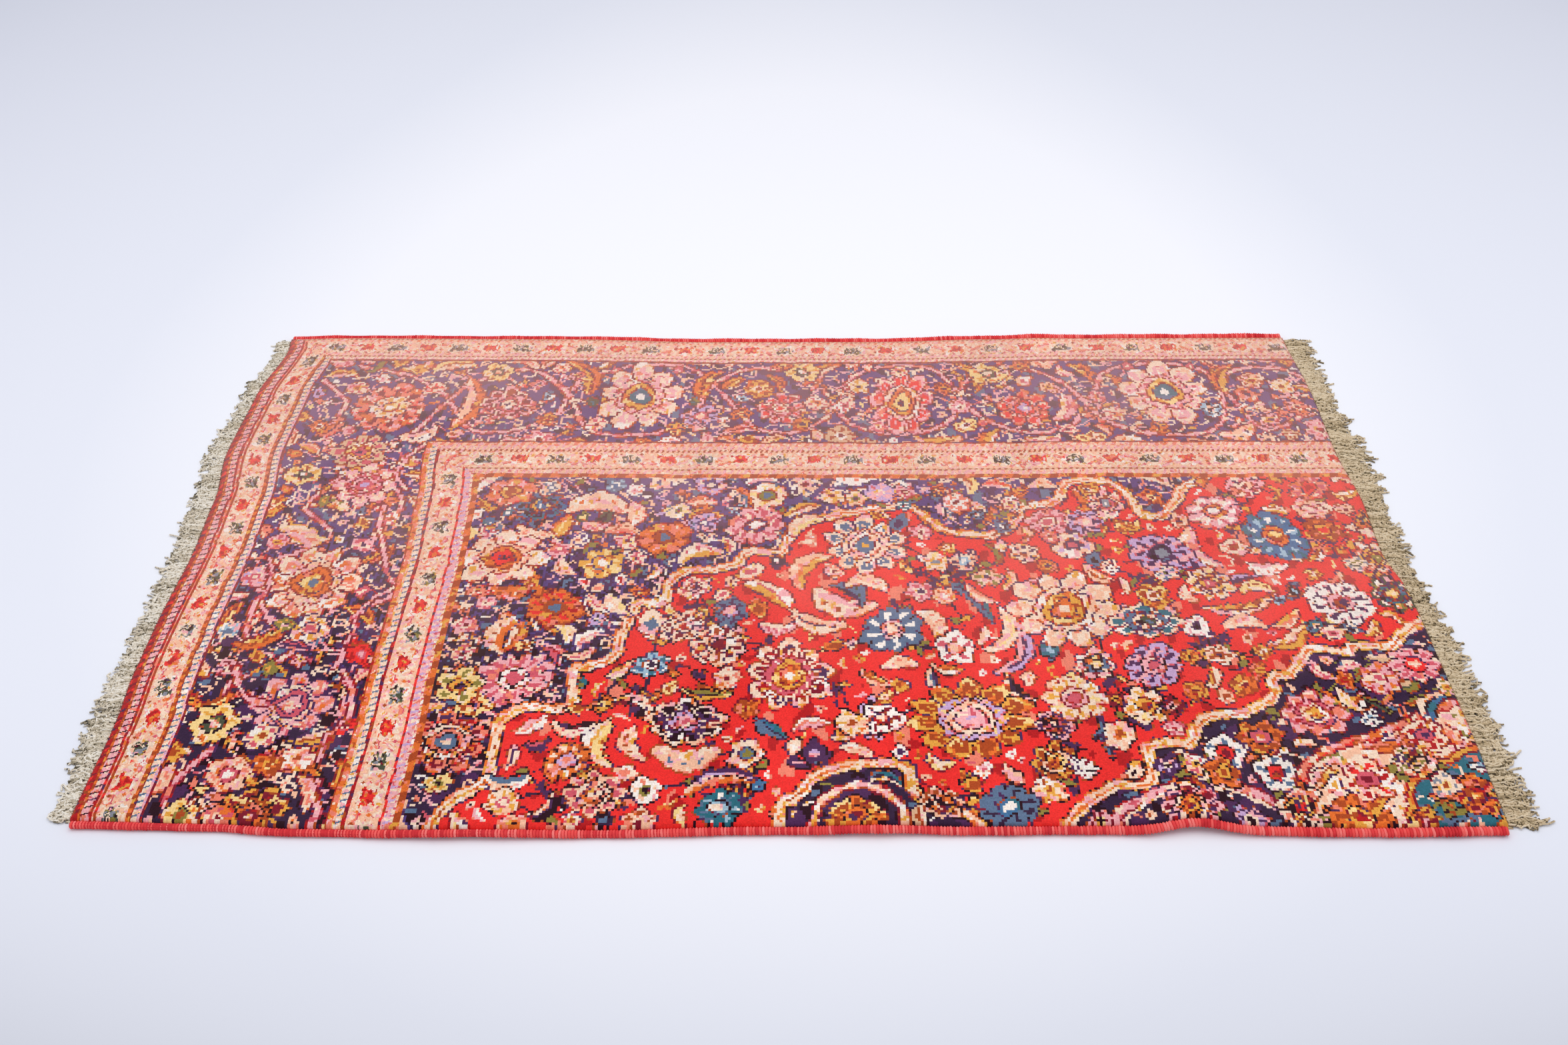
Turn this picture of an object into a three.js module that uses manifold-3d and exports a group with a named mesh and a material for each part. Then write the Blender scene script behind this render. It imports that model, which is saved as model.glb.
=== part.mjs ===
// A hand-knotted Persian rug laid flat: the pile body, an overcast wool selvedge
// along each long edge and a cotton warp fringe at each short end.
// Millimetres. +X runs along the rug, +Y across it, +Z up, and the floor is Z = 0.
import * as THREE from 'three';
import { mergeVertices } from 'three/addons/utils/BufferGeometryUtils.js';
import Module from 'manifold-3d';

// Driving sizes
const pileLength = 1500;
const pileWidth = 896;
const clothThickness = 9;
const rimWidth = 6;
const rimDrop = 2.2;
const seamGap = 0.3;
const selvedgeWidth = 12;
const selvedgeHeight = 10;
const kilimEndWidth = 6;
const kilimEndHeight = 4.2;

// Steps of the faceted surfaces
const stepsAlong = 44;
const stepsAcross = 22;
const selvedgeSides = 8;

// The warp ends, one loose lock for each
const locksPerEnd = 108;
const lockWidth = 3.6;
const lockHeight = 3;
const lockRootDepth = 3;
const tipShare = 0.5;
const lockSway = { degrees: 9, turnsPerLock: 0.05, jitter: 2, jitterPerLock: 0.27 };
const lockLengthSpread = 3.2;

// How far each edge stands out from its straight line. Long edges run from the
// left end to the right one, short ends from the near edge to the far one.
const nearEdge = [
  { at: 0.0, out: 0 },
  { at: 0.1, out: 3 },
  { at: 0.16, out: 9 },
  { at: 0.26, out: 11 },
  { at: 0.37, out: 9 },
  { at: 0.48, out: 4 },
  { at: 0.6, out: 3 },
  { at: 0.75, out: 1 },
  { at: 0.785, out: -5 },
  { at: 0.82, out: 1 },
  { at: 0.9, out: 3 },
  { at: 1.0, out: 0 },
];
const farEdge = [
  { at: 0.0, out: 0 },
  { at: 0.05, out: 3 },
  { at: 0.27, out: 0 },
  { at: 0.42, out: -8 },
  { at: 0.62, out: -8 },
  { at: 0.7, out: -5 },
  { at: 0.76, out: 1 },
  { at: 1.0, out: 2 },
];
const leftEnd = [
  { at: 0.0, out: 4, fringe: 25 },
  { at: 0.14, out: 2, fringe: 33 },
  { at: 0.24, out: 7, fringe: 28 },
  { at: 0.32, out: 7, fringe: 22 },
  { at: 0.47, out: 2, fringe: 29 },
  { at: 0.58, out: 5, fringe: 30 },
  { at: 0.7, out: 18, fringe: 28 },
  { at: 0.84, out: 14, fringe: 18 },
  { at: 0.97, out: -3, fringe: 21 },
  { at: 1.0, out: 0, fringe: 21 },
];
const rightEnd = [
  { at: 0.0, out: 0, fringe: 39 },
  { at: 0.14, out: 3, fringe: 34 },
  { at: 0.3, out: 2, fringe: 32 },
  { at: 0.38, out: 1, fringe: 23 },
  { at: 0.48, out: -12, fringe: 33 },
  { at: 0.58, out: -9, fringe: 33 },
  { at: 0.7, out: -17, fringe: 44 },
  { at: 0.84, out: -16, fringe: 31 },
  { at: 1.0, out: -24, fringe: 37 },
];

// Low places where the cloth stands off the floor, each with its middle and reach
const ripples = [
  { x: 427, y: -458, reachX: 75, reachY: 150, lift: 6 },
  { x: 95, y: -468, reachX: 95, reachY: 130, lift: 3 },
  { x: -335, y: -468, reachX: 120, reachY: 110, lift: 3 },
  { x: 270, y: 468, reachX: 160, reachY: 120, lift: 3 },
];

// Value of one column at a place along an edge, eased from row to row
function along(rows, column, place) {
  const after = Math.max(1, rows.findIndex((row) => row.at >= place));
  const from = rows[after - 1];
  const to = rows[after];
  const share = THREE.MathUtils.smoothstep(place, from.at, to.at);
  return THREE.MathUtils.lerp(from[column], to[column], share);
}

// Floor plan of the cloth: share 0 to 1 along the rug and across it
function planPoint(shareAlong, shareAcross) {
  const left = -along(leftEnd, 'out', shareAcross) * (1 - shareAlong) ** 3;
  const right = along(rightEnd, 'out', shareAcross) * shareAlong ** 3;
  const near = -along(nearEdge, 'out', shareAlong) * (1 - shareAcross) ** 3;
  const far = along(farEdge, 'out', shareAlong) * shareAcross ** 3;
  return {
    x: (shareAlong - 0.5) * pileLength + left + right,
    y: (shareAcross - 0.5) * pileWidth + near + far,
  };
}

// Height of the underside over the floor
function liftAt(x, y) {
  return ripples.reduce((total, ripple) => {
    const reach = ((x - ripple.x) / ripple.reachX) ** 2 + ((y - ripple.y) / ripple.reachY) ** 2;
    return total + (reach < 1 ? ripple.lift * (1 - reach) ** 2 : 0);
  }, 0);
}

// Even stations from 0 to 1 with one more close to each end, for the rounded rim
function stations(steps, length) {
  const rim = rimWidth / length;
  const inner = Array.from({ length: steps + 1 }, (_, i) => rim + ((1 - 2 * rim) * i) / steps);
  return [0, ...inner, 1];
}

const stationsAlong = stations(stepsAlong, pileLength);
const stationsAcross = stations(stepsAcross, pileWidth);

function geometryFrom(points, faces) {
  const geometry = new THREE.BufferGeometry();
  geometry.setAttribute('position', new THREE.Float32BufferAttribute(points.flat(), 3));
  geometry.setIndex(faces.flat());
  return geometry;
}

// The knotted cloth: a top and an underside on the same stations, and a wall round them
function buildBody() {
  const columns = stationsAlong.length;
  const rows = stationsAcross.length;
  const top = [];
  const underside = [];
  stationsAcross.forEach((shareAcross, row) => {
    stationsAlong.forEach((shareAlong, column) => {
      const { x, y } = planPoint(shareAlong, shareAcross);
      const lift = liftAt(x, y);
      const onRim = row === 0 || row === rows - 1 || column === 0 || column === columns - 1;
      top.push([x, y, lift + clothThickness - (onRim ? rimDrop : 0)]);
      underside.push([x, y, lift]);
    });
  });
  const below = top.length;
  const faces = [];
  for (let row = 0; row + 1 < rows; row += 1) {
    for (let column = 0; column + 1 < columns; column += 1) {
      const a = row * columns + column;
      const b = a + 1;
      const c = a + columns + 1;
      const d = a + columns;
      faces.push([a, b, c], [a, c, d]);
      faces.push([below + a, below + c, below + b], [below + a, below + d, below + c]);
    }
  }
  const rim = [];
  for (let column = 0; column < columns - 1; column += 1) rim.push(column);
  for (let row = 0; row < rows - 1; row += 1) rim.push(row * columns + columns - 1);
  for (let column = columns - 1; column > 0; column -= 1) rim.push((rows - 1) * columns + column);
  for (let row = rows - 1; row > 0; row -= 1) rim.push(row * columns);
  rim.forEach((a, index) => {
    const b = rim[(index + 1) % rim.length];
    faces.push([below + a, below + b, b], [below + a, b, a]);
  });
  return geometryFrom([...top, ...underside], faces);
}

// A closed bar through a row of like rings, each turning left as seen from the next
function loft(rings) {
  const sides = rings[0].length;
  const faces = [];
  for (let ring = 0; ring + 1 < rings.length; ring += 1) {
    for (let side = 0; side < sides; side += 1) {
      const a = ring * sides + side;
      const b = ring * sides + ((side + 1) % sides);
      faces.push([a, b, b + sides], [a, b + sides, a + sides]);
    }
  }
  const last = (rings.length - 1) * sides;
  for (let side = 1; side + 1 < sides; side += 1) {
    faces.push([0, side + 1, side], [last, last + side, last + side + 1]);
  }
  return geometryFrom(rings.flat(), faces);
}

// One overcast long edge. The side is -1 for the near edge and 1 for the far one.
function buildSelvedge(side) {
  const middle = seamGap + selvedgeWidth / 2;
  const fit = 1 / Math.cos(Math.PI / selvedgeSides);
  const rings = stationsAlong.map((shareAlong) => {
    const edge = planPoint(shareAlong, side < 0 ? 0 : 1);
    const lift = liftAt(edge.x, edge.y);
    return Array.from({ length: selvedgeSides }, (_, corner) => {
      const angle = (Math.PI * 2 * (corner + 0.5)) / selvedgeSides;
      const across = (Math.cos(angle) * fit * selvedgeWidth) / 2;
      const up = (Math.sin(angle) * fit * selvedgeHeight) / 2;
      return [edge.x, edge.y + side * middle + across, lift + selvedgeHeight / 2 + up];
    });
  });
  return loft(rings);
}

// The narrow woven strip that the warp ends leave. The side is -1 for the left end.
function buildKilimEnd(rows, side) {
  const rings = stationsAcross.map((shareAcross) => {
    const edge = planPoint(side < 0 ? 0 : 1, shareAcross);
    const inner = edge.x + side * seamGap;
    const outer = inner + side * kilimEndWidth;
    const [low, high] = [Math.min(inner, outer), Math.max(inner, outer)];
    return [
      [high, edge.y, 0],
      [low, edge.y, 0],
      [low, edge.y, kilimEndHeight],
      [high, edge.y, kilimEndHeight],
    ];
  });
  return loft(rings);
}

// One loose lock of warp: three sides, level on the floor, thinner towards its tip
function buildLock(root, side, reach, sway) {
  const length = lockRootDepth + reach;
  const rings = [0, 0.5, 1].map((share) => {
    const out = side * (length * share - lockRootDepth);
    const aside = Math.tan(sway) * length * share * share;
    const size = THREE.MathUtils.lerp(1, tipShare, share * share);
    const half = (lockWidth * size) / 2;
    return [
      [root.x + out, root.y + aside - side * half, 0],
      [root.x + out, root.y + aside + side * half, 0],
      [root.x + out, root.y + aside, lockHeight * size],
    ];
  });
  return loft(rings);
}

const wasm = await Module();
wasm.setup();

function solidOf(geometry) {
  const welded = mergeVertices(geometry);
  return new wasm.Manifold(new wasm.Mesh({
    numProp: 3,
    vertProperties: new Float32Array(welded.attributes.position.array),
    triVerts: new Uint32Array(welded.index.array),
  }));
}

function geometryOf(solid) {
  const { vertProperties, triVerts } = solid.getMesh();
  const geometry = new THREE.BufferGeometry();
  geometry.setAttribute('position', new THREE.BufferAttribute(vertProperties, 3));
  geometry.setIndex(new THREE.BufferAttribute(triVerts, 1));
  return geometry;
}

// A short end: the woven strip with every lock fused into it
function buildFringe(rows, side) {
  const outerFace = seamGap + kilimEndWidth;
  let fringe = solidOf(buildKilimEnd(rows, side));
  for (let lock = 0; lock < locksPerEnd; lock += 1) {
    const shareAcross = (lock + 0.5) / locksPerEnd;
    const edge = planPoint(side < 0 ? 0 : 1, shareAcross);
    const root = { x: edge.x + side * outerFace, y: edge.y };
    const turn = Math.PI * 2 * lock;
    const wave = Math.sin(turn * lockSway.turnsPerLock) * lockSway.degrees;
    const jitter = Math.sin(turn * lockSway.jitterPerLock) * lockSway.jitter;
    const spread = Math.cos(turn * lockSway.jitterPerLock) * lockLengthSpread;
    const reach = along(rows, 'fringe', shareAcross) - kilimEndWidth + spread;
    const sway = THREE.MathUtils.degToRad(wave + jitter);
    fringe = fringe.add(solidOf(buildLock(root, side, reach, sway)));
  }
  return geometryOf(fringe);
}

// Colours and finishes of the three yarns
const pileWool = new THREE.MeshStandardMaterial({ color: 0xb2262b, roughness: 0.95, metalness: 0 });
const edgeWool = new THREE.MeshStandardMaterial({ color: 0xa8202c, roughness: 0.9, metalness: 0 });
const warpCotton = new THREE.MeshStandardMaterial({ color: 0xc9bb9c, roughness: 1, metalness: 0 });

function named(name, geometry, material) {
  const mesh = new THREE.Mesh(geometry, material);
  mesh.name = name;
  return mesh;
}

const rug = new THREE.Group();
rug.add(
  named('rug_body', buildBody(), pileWool),
  named('selvedge_near', buildSelvedge(-1), edgeWool),
  named('selvedge_far', buildSelvedge(1), edgeWool),
  named('fringe_left', buildFringe(leftEnd, -1), warpCotton),
  named('fringe_right', buildFringe(rightEnd, 1), warpCotton),
);

// The origin is the middle of the rug's outline, on the floor
const outline = new THREE.Box3().setFromObject(rug);
const middle = outline.getCenter(new THREE.Vector3());
rug.position.set(-middle.x, -middle.y, -outline.min.z);
rug.updateMatrixWorld(true);

export default rug;
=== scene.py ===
"""A hand-knotted Persian rug laid flat: knotted wool pile, overcast selvedges and cotton warp fringe."""
import logging
import math
from collections.abc import Iterator, Sequence
from contextlib import contextmanager
from dataclasses import dataclass
from enum import Enum, IntEnum
from typing import NamedTuple

import bpy
import numpy as np
from mathutils import Matrix, Vector


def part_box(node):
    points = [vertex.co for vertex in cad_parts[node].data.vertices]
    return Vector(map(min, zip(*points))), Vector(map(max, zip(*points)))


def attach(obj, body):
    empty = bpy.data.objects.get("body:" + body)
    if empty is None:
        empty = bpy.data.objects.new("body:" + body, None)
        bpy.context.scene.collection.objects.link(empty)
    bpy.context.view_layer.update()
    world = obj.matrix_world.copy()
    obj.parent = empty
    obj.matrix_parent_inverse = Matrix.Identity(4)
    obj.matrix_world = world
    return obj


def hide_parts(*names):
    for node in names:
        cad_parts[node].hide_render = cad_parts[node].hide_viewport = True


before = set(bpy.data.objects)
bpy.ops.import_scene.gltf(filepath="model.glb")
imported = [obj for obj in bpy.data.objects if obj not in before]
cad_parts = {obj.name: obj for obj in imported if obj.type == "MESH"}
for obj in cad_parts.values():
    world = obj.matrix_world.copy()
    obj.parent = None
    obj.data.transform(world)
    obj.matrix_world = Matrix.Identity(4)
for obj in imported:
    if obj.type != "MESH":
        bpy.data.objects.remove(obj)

LOG = logging.getLogger("rug")
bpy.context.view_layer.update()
MM = 0.001
FULL_TURN = 2.0 * math.pi
Socket = bpy.types.NodeSocket
Line = Sequence[tuple[float, float]]

# Driving sizes in millimetres, the same as the CAD part's
PILE_LENGTH = 1500.0
PILE_WIDTH = 896.0
CLOTH_THICKNESS = 9.0
RIM_DROP = 2.2
SEAM_GAP = 0.3
SELVEDGE_WIDTH = 12.0
SELVEDGE_HEIGHT = 10.0
KILIM_END_WIDTH = 6.0
KILIM_END_HEIGHT = 4.2

# The knot chart: columns run along the rug and rows across it, from the far edge
KNOTS_ALONG = 1000
KNOTS_ACROSS = 600
KNOTS_PER_FACE = 4
KNOTS_PER_BLOCK = 2
DESIGN_WOBBLE = 1.6
YARN_BASE = 32


class EdgeRow(NamedTuple):
    """How far an edge stands out from its straight line at one place, and how long its fringe is."""

    at: float
    out: float
    fringe: float = 0.0


NEAR_EDGE, FAR_EDGE, LEFT_END, RIGHT_END = ([EdgeRow(*row) for row in rows] for rows in (
    ((0.0, 0), (0.1, 3), (0.16, 9), (0.26, 11), (0.37, 9), (0.48, 4), (0.6, 3), (0.75, 1), (0.785, -5),
     (0.82, 1), (0.9, 3), (1.0, 0)),
    ((0.0, 0), (0.05, 3), (0.27, 0), (0.42, -8), (0.62, -8), (0.7, -5), (0.76, 1), (1.0, 2)),
    ((0.0, 4, 25), (0.14, 2, 33), (0.24, 7, 28), (0.32, 7, 22), (0.47, 2, 29), (0.58, 5, 30), (0.7, 18, 28),
     (0.84, 14, 18), (0.97, -3, 21), (1.0, 0, 21)),
    ((0.0, 0, 39), (0.14, 3, 34), (0.3, 2, 32), (0.38, 1, 23), (0.48, -12, 33), (0.58, -9, 33),
     (0.7, -17, 44), (0.84, -16, 31), (1.0, -24, 37)),
))


class Ripple(NamedTuple):
    """A low place where the cloth stands off the floor."""

    x: float
    y: float
    reach_x: float
    reach_y: float
    lift: float


RIPPLES = (Ripple(427, -458, 75, 150, 6), Ripple(95, -468, 95, 130, 3), Ripple(-335, -468, 120, 110, 3),
           Ripple(270, 468, 160, 120, 3))


class Yarn(IntEnum):
    """The dyed wools. The number is the yarn's place in the palette."""

    NAVY, RED, IVORY, GOLD, ORANGE, PEACH, PINK, CORAL, WINE, TEAL, SKY, BLUE, LILAC = range(13)
    PLUM, GREEN, OLIVE, INK, WHITE, YELLOW, SAND, GREY, ROSE, RUST, CRIMSON, STEEL, DUSK = range(13, 26)


DYES = dict(zip(Yarn, """
    38243f f8322e ffdfc2 f0a944 f0742e ffc4a0 fbb2b4 f8866c 86192c 2f6f7d a6c2d0 44739a cfaad0
    512c56 4e533e 94833c 2a0d1b fff2e4 ffd98f e8b990 8d8f98 dd5c6a b34a20 bd1c20 5f7590 56407c
""".split()))

# The yarn that takes over for parts of an outline
SOFTER_EDGES = {Yarn.INK: Yarn.RUST, Yarn.WINE: Yarn.RUST}


def linear_colour(code: str) -> tuple[float, float, float, float]:
    """Works out a linear colour.

    Args:
        code: Six hexadecimal sRGB digits.

    Returns:
        Red, green and blue, with an alpha of one.
    """
    parts = [int(code[place:place + 2], 16) / 255 for place in (0, 2, 4)]
    linear = [part / 12.92 if part <= 0.04045 else ((part + 0.055) / 1.055) ** 2.4 for part in parts]
    return linear[0], linear[1], linear[2], 1.0


def read_word(word: str) -> float | Yarn | tuple[Yarn, ...]:
    """Reads a word of a table.

    Args:
        word: A number, a yarn's name, or several names joined by hyphens.

    Returns:
        The number, the yarn or the yarns.
    """
    if word[-1].isdigit():
        return float(word)
    yarns = tuple(Yarn[name.upper()] for name in word.split("-"))
    return yarns if len(yarns) > 1 else yarns[0]


def table(text: str, **defaults: object) -> list[dict]:
    """Reads a text table: the first line names the columns, and each other line is a row.

    Args:
        text: The table, in numbers and yarns.
        **defaults: Values for the last columns, for rows that leave them out.

    Returns:
        One dictionary for each row.
    """
    names, *rows = [line.split() for line in text.strip().splitlines()]
    return [defaults | dict(zip(names, map(read_word, row))) for row in rows]


def enlarged(rows: list[dict], growth: float, *columns: str) -> list[dict]:
    """Gives a table's rows with some of their sizes enlarged."""
    return [row | {name: row[name] * growth for name in columns} for row in rows]


class Outline:
    """The floor plan of the cloth, with its uneven edges and its ripples."""

    @staticmethod
    def along(rows: Sequence[EdgeRow], column: str, place: np.ndarray) -> np.ndarray:
        """Reads one column at places along an edge, eased from row to row.

        Args:
            rows: The edge's table.
            column: The name of the column.
            place: Shares of the edge's length, 0 to 1.

        Returns:
            The value at each place.
        """
        at = np.array([row.at for row in rows])
        values = np.array([getattr(row, column) for row in rows], dtype=float)
        place = np.clip(np.asarray(place, dtype=float), 0.0, 1.0)
        after = np.clip(np.searchsorted(at, place, side="left"), 1, len(rows) - 1)
        share = (place - at[after - 1]) / (at[after] - at[after - 1])
        share = share * share * (3 - 2 * share)
        return values[after - 1] * (1 - share) + values[after] * share

    @classmethod
    def place(cls, along: np.ndarray, across: np.ndarray) -> tuple[np.ndarray, np.ndarray]:
        """Finds where a point of the cloth lies on the floor.

        Args:
            along: Share of the way along the rug, 0 at the left end.
            across: Share of the way across it, 0 at the near edge.

        Returns:
            X and Y in millimetres, before the part's shift.
        """
        left = -cls.along(LEFT_END, "out", across) * (1 - along) ** 3
        right = cls.along(RIGHT_END, "out", across) * along ** 3
        near = -cls.along(NEAR_EDGE, "out", along) * (1 - across) ** 3
        far = cls.along(FAR_EDGE, "out", along) * across ** 3
        return (along - 0.5) * PILE_LENGTH + left + right, (across - 0.5) * PILE_WIDTH + near + far

    @staticmethod
    def lift(x: np.ndarray, y: np.ndarray) -> np.ndarray:
        """Works out the height of the underside over the floor.

        Args:
            x: Places along the rug in millimetres, before the part's shift.
            y: Places across it.

        Returns:
            The height at each place, in millimetres.
        """
        total = np.zeros_like(np.asarray(x, dtype=float))
        for ripple in RIPPLES:
            reach = ((x - ripple.x) / ripple.reach_x) ** 2 + ((y - ripple.y) / ripple.reach_y) ** 2
            total = total + np.where(reach < 1, ripple.lift * (1 - reach) ** 2, 0.0)
        return total

    @staticmethod
    def shift() -> tuple[float, float]:
        """Reads the shift that centres the part from the CAD boxes.

        Returns:
            The shift along X and along Y, in millimetres.
        """
        left_corner = -PILE_LENGTH / 2 - LEFT_END[0].out
        near_corner = -PILE_WIDTH / 2 - NEAR_EDGE[0].out
        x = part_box("selvedge_near")[0][0] / MM - left_corner
        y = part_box("fringe_left")[0][1] / MM - near_corner
        return x, y

    @classmethod
    def laid(cls, along: np.ndarray, across: np.ndarray) -> tuple[np.ndarray, np.ndarray, np.ndarray]:
        """Finds where a point of the cloth lies in the part.

        Args:
            along: Share of the way along the rug, 0 at the left end.
            across: Share of the way across it, 0 at the near edge.

        Returns:
            X, Y and the height of the underside, in millimetres.
        """
        x, y = cls.place(along, across)
        shift_x, shift_y = cls.shift()
        return x + shift_x, y + shift_y, cls.lift(x, y)


def grown(mask: np.ndarray) -> np.ndarray:
    """Adds the knots beside a mask to it.

    Args:
        mask: The knots to start from.

    Returns:
        The wider mask.
    """
    wide = mask.copy()
    wide[1:] |= mask[:-1]
    wide[:-1] |= mask[1:]
    wide[:, 1:] |= mask[:, :-1]
    wide[:, :-1] |= mask[:, 1:]
    return wide


def wave_noise(x: np.ndarray, y: np.ndarray, seed: int, spans: Sequence[float]) -> np.ndarray:
    """Sums sine waves of several spans into a smooth uneven field of about -1 to 1.

    Args:
        x: Places along the rug.
        y: Places across it.
        seed: Chooses the waves' directions and phases.
        spans: Wavelengths, three waves for each.

    Returns:
        The field's value at each place.
    """
    draw = np.random.default_rng(seed)
    total = np.zeros_like(x)
    for span in spans:
        for _ in range(3):
            turn, phase = draw.uniform(0, FULL_TURN, 2)
            total += np.sin((x * math.cos(turn) + y * math.sin(turn)) * FULL_TURN / span + phase)
    return total / (3 * len(spans)) ** 0.5


class KnotChart:
    """The rug's design on a grid of blocks of knots, one yarn for each block."""

    # How far past a motif's reach its window goes, so that the wobble can't move it out
    MARGIN, STRETCH = 6, 1.15

    def __init__(self, block: int) -> None:
        """Lays out the blocks on the floor plan.

        Args:
            block: How many knots wide and deep each block is.
        """
        self.block = block
        columns, rows = KNOTS_ALONG // block, KNOTS_ACROSS // block
        self.column, self.row = PILE_LENGTH / columns, PILE_WIDTH / rows
        along = (np.arange(columns) + 0.5) / columns
        across = 1 - (np.arange(rows) + 0.5) / rows
        along, across = np.meshgrid(along, across)
        x, y = Outline.place(along, across)
        self.woven_x = along * PILE_LENGTH
        self.woven_y = SELVEDGE_WIDTH + (1 - across) * PILE_WIDTH
        x = x + PILE_LENGTH / 2
        y = PILE_WIDTH / 2 + SELVEDGE_WIDTH - y
        self.x = x + DESIGN_WOBBLE * wave_noise(x, y, 3, (11, 19, 43))
        self.y = y + DESIGN_WOBBLE * wave_noise(x, y, 4, (12, 21, 39))
        self.mood = wave_noise(x, y, 6, (8, 15))
        self.yarns = np.full(x.shape, Yarn.RED, np.uint8)
        self.bare = np.ones(x.shape, bool)

    def near(self, x: float, y: float, reach: float) -> tuple[slice, slice]:
        """Finds the blocks within reach of a place.

        Args:
            x: The place's distance from the left end, in millimetres.
            y: Its distance from the far edge.
            reach: How far round it to look.

        Returns:
            Their rows and their columns.
        """
        rows, columns = self.x.shape
        i, j = x / self.column, (y - SELVEDGE_WIDTH) / self.row
        for _ in range(3):
            i, j = min(max(i, 0), columns - 1), min(max(j, 0), rows - 1)
            block = int(j), int(i)
            i, j = i + (x - self.x[block]) / self.column, j + (y - self.y[block]) / self.row
        wide, tall = ((reach + self.MARGIN) * self.STRETCH / step for step in (self.column, self.row))
        spans = (j - tall, j + tall), (i - wide, i + wide)
        return tuple(slice(max(0, int(low)), max(0, int(high) + 1)) for low, high in spans)

    def at(self, x: float, y: float) -> tuple[int, int]:
        """Finds the block at a place, or the nearest one.

        Args:
            x: The place's distance from the left end, in millimetres.
            y: Its distance from the far edge.

        Returns:
            Its row and column.
        """
        rows, columns = self.near(x, y, 0)
        part_x, part_y = self.x[rows, columns], self.y[rows, columns]
        if part_x.size == 0:
            return 0, 0
        best = np.unravel_index(np.hypot(part_x - x, part_y - y).argmin(), part_x.shape)
        return rows.start + int(best[0]), columns.start + int(best[1])

    @contextmanager
    def only_in(self, region: np.ndarray) -> Iterator[None]:
        """Takes back what is drawn outside a region.

        Args:
            region: The mask that is drawn in.
        """
        yarns, bare = self.yarns.copy(), self.bare.copy()
        yield
        self.yarns[~region], self.bare[~region] = yarns[~region], bare[~region]


class Zones:
    """Where each block of a chart lies in the border: how far in, how far along, and on which side."""

    # The left border leans: its bands start this far in and move this far out towards the near edge
    INSET, LEAN = 3, 8
    LEAN_START, LEAN_LENGTH = 280, 330
    BORDER_START, BORDER_WIDTH = 75, 190

    def __init__(self, chart: KnotChart) -> None:
        """Works out the places for a chart.

        Args:
            chart: The chart whose blocks are placed.
        """
        lean = np.clip((chart.woven_y - self.LEAN_START) / self.LEAN_LENGTH, 0, 1)
        inward = np.clip((chart.woven_x - self.BORDER_START) / self.BORDER_WIDTH, 0, 1)
        eased = self.LEAN * lean * lean * (3 - 2 * lean)
        in_from_left = chart.woven_x - self.INSET - inward * (eased - self.INSET)
        self.at_left = in_from_left < chart.woven_y
        self.depth = np.where(self.at_left, in_from_left, chart.woven_y)
        self.depth = self.depth + 0.5 * wave_noise(chart.woven_x, chart.woven_y, 9, (40, 90))
        self.run = np.where(self.at_left, chart.woven_y, chart.woven_x)

    def within(self, low: float, high: float) -> np.ndarray:
        """Gives the mask of the blocks between two depths."""
        return (self.depth > low) & (self.depth < high)


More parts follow.
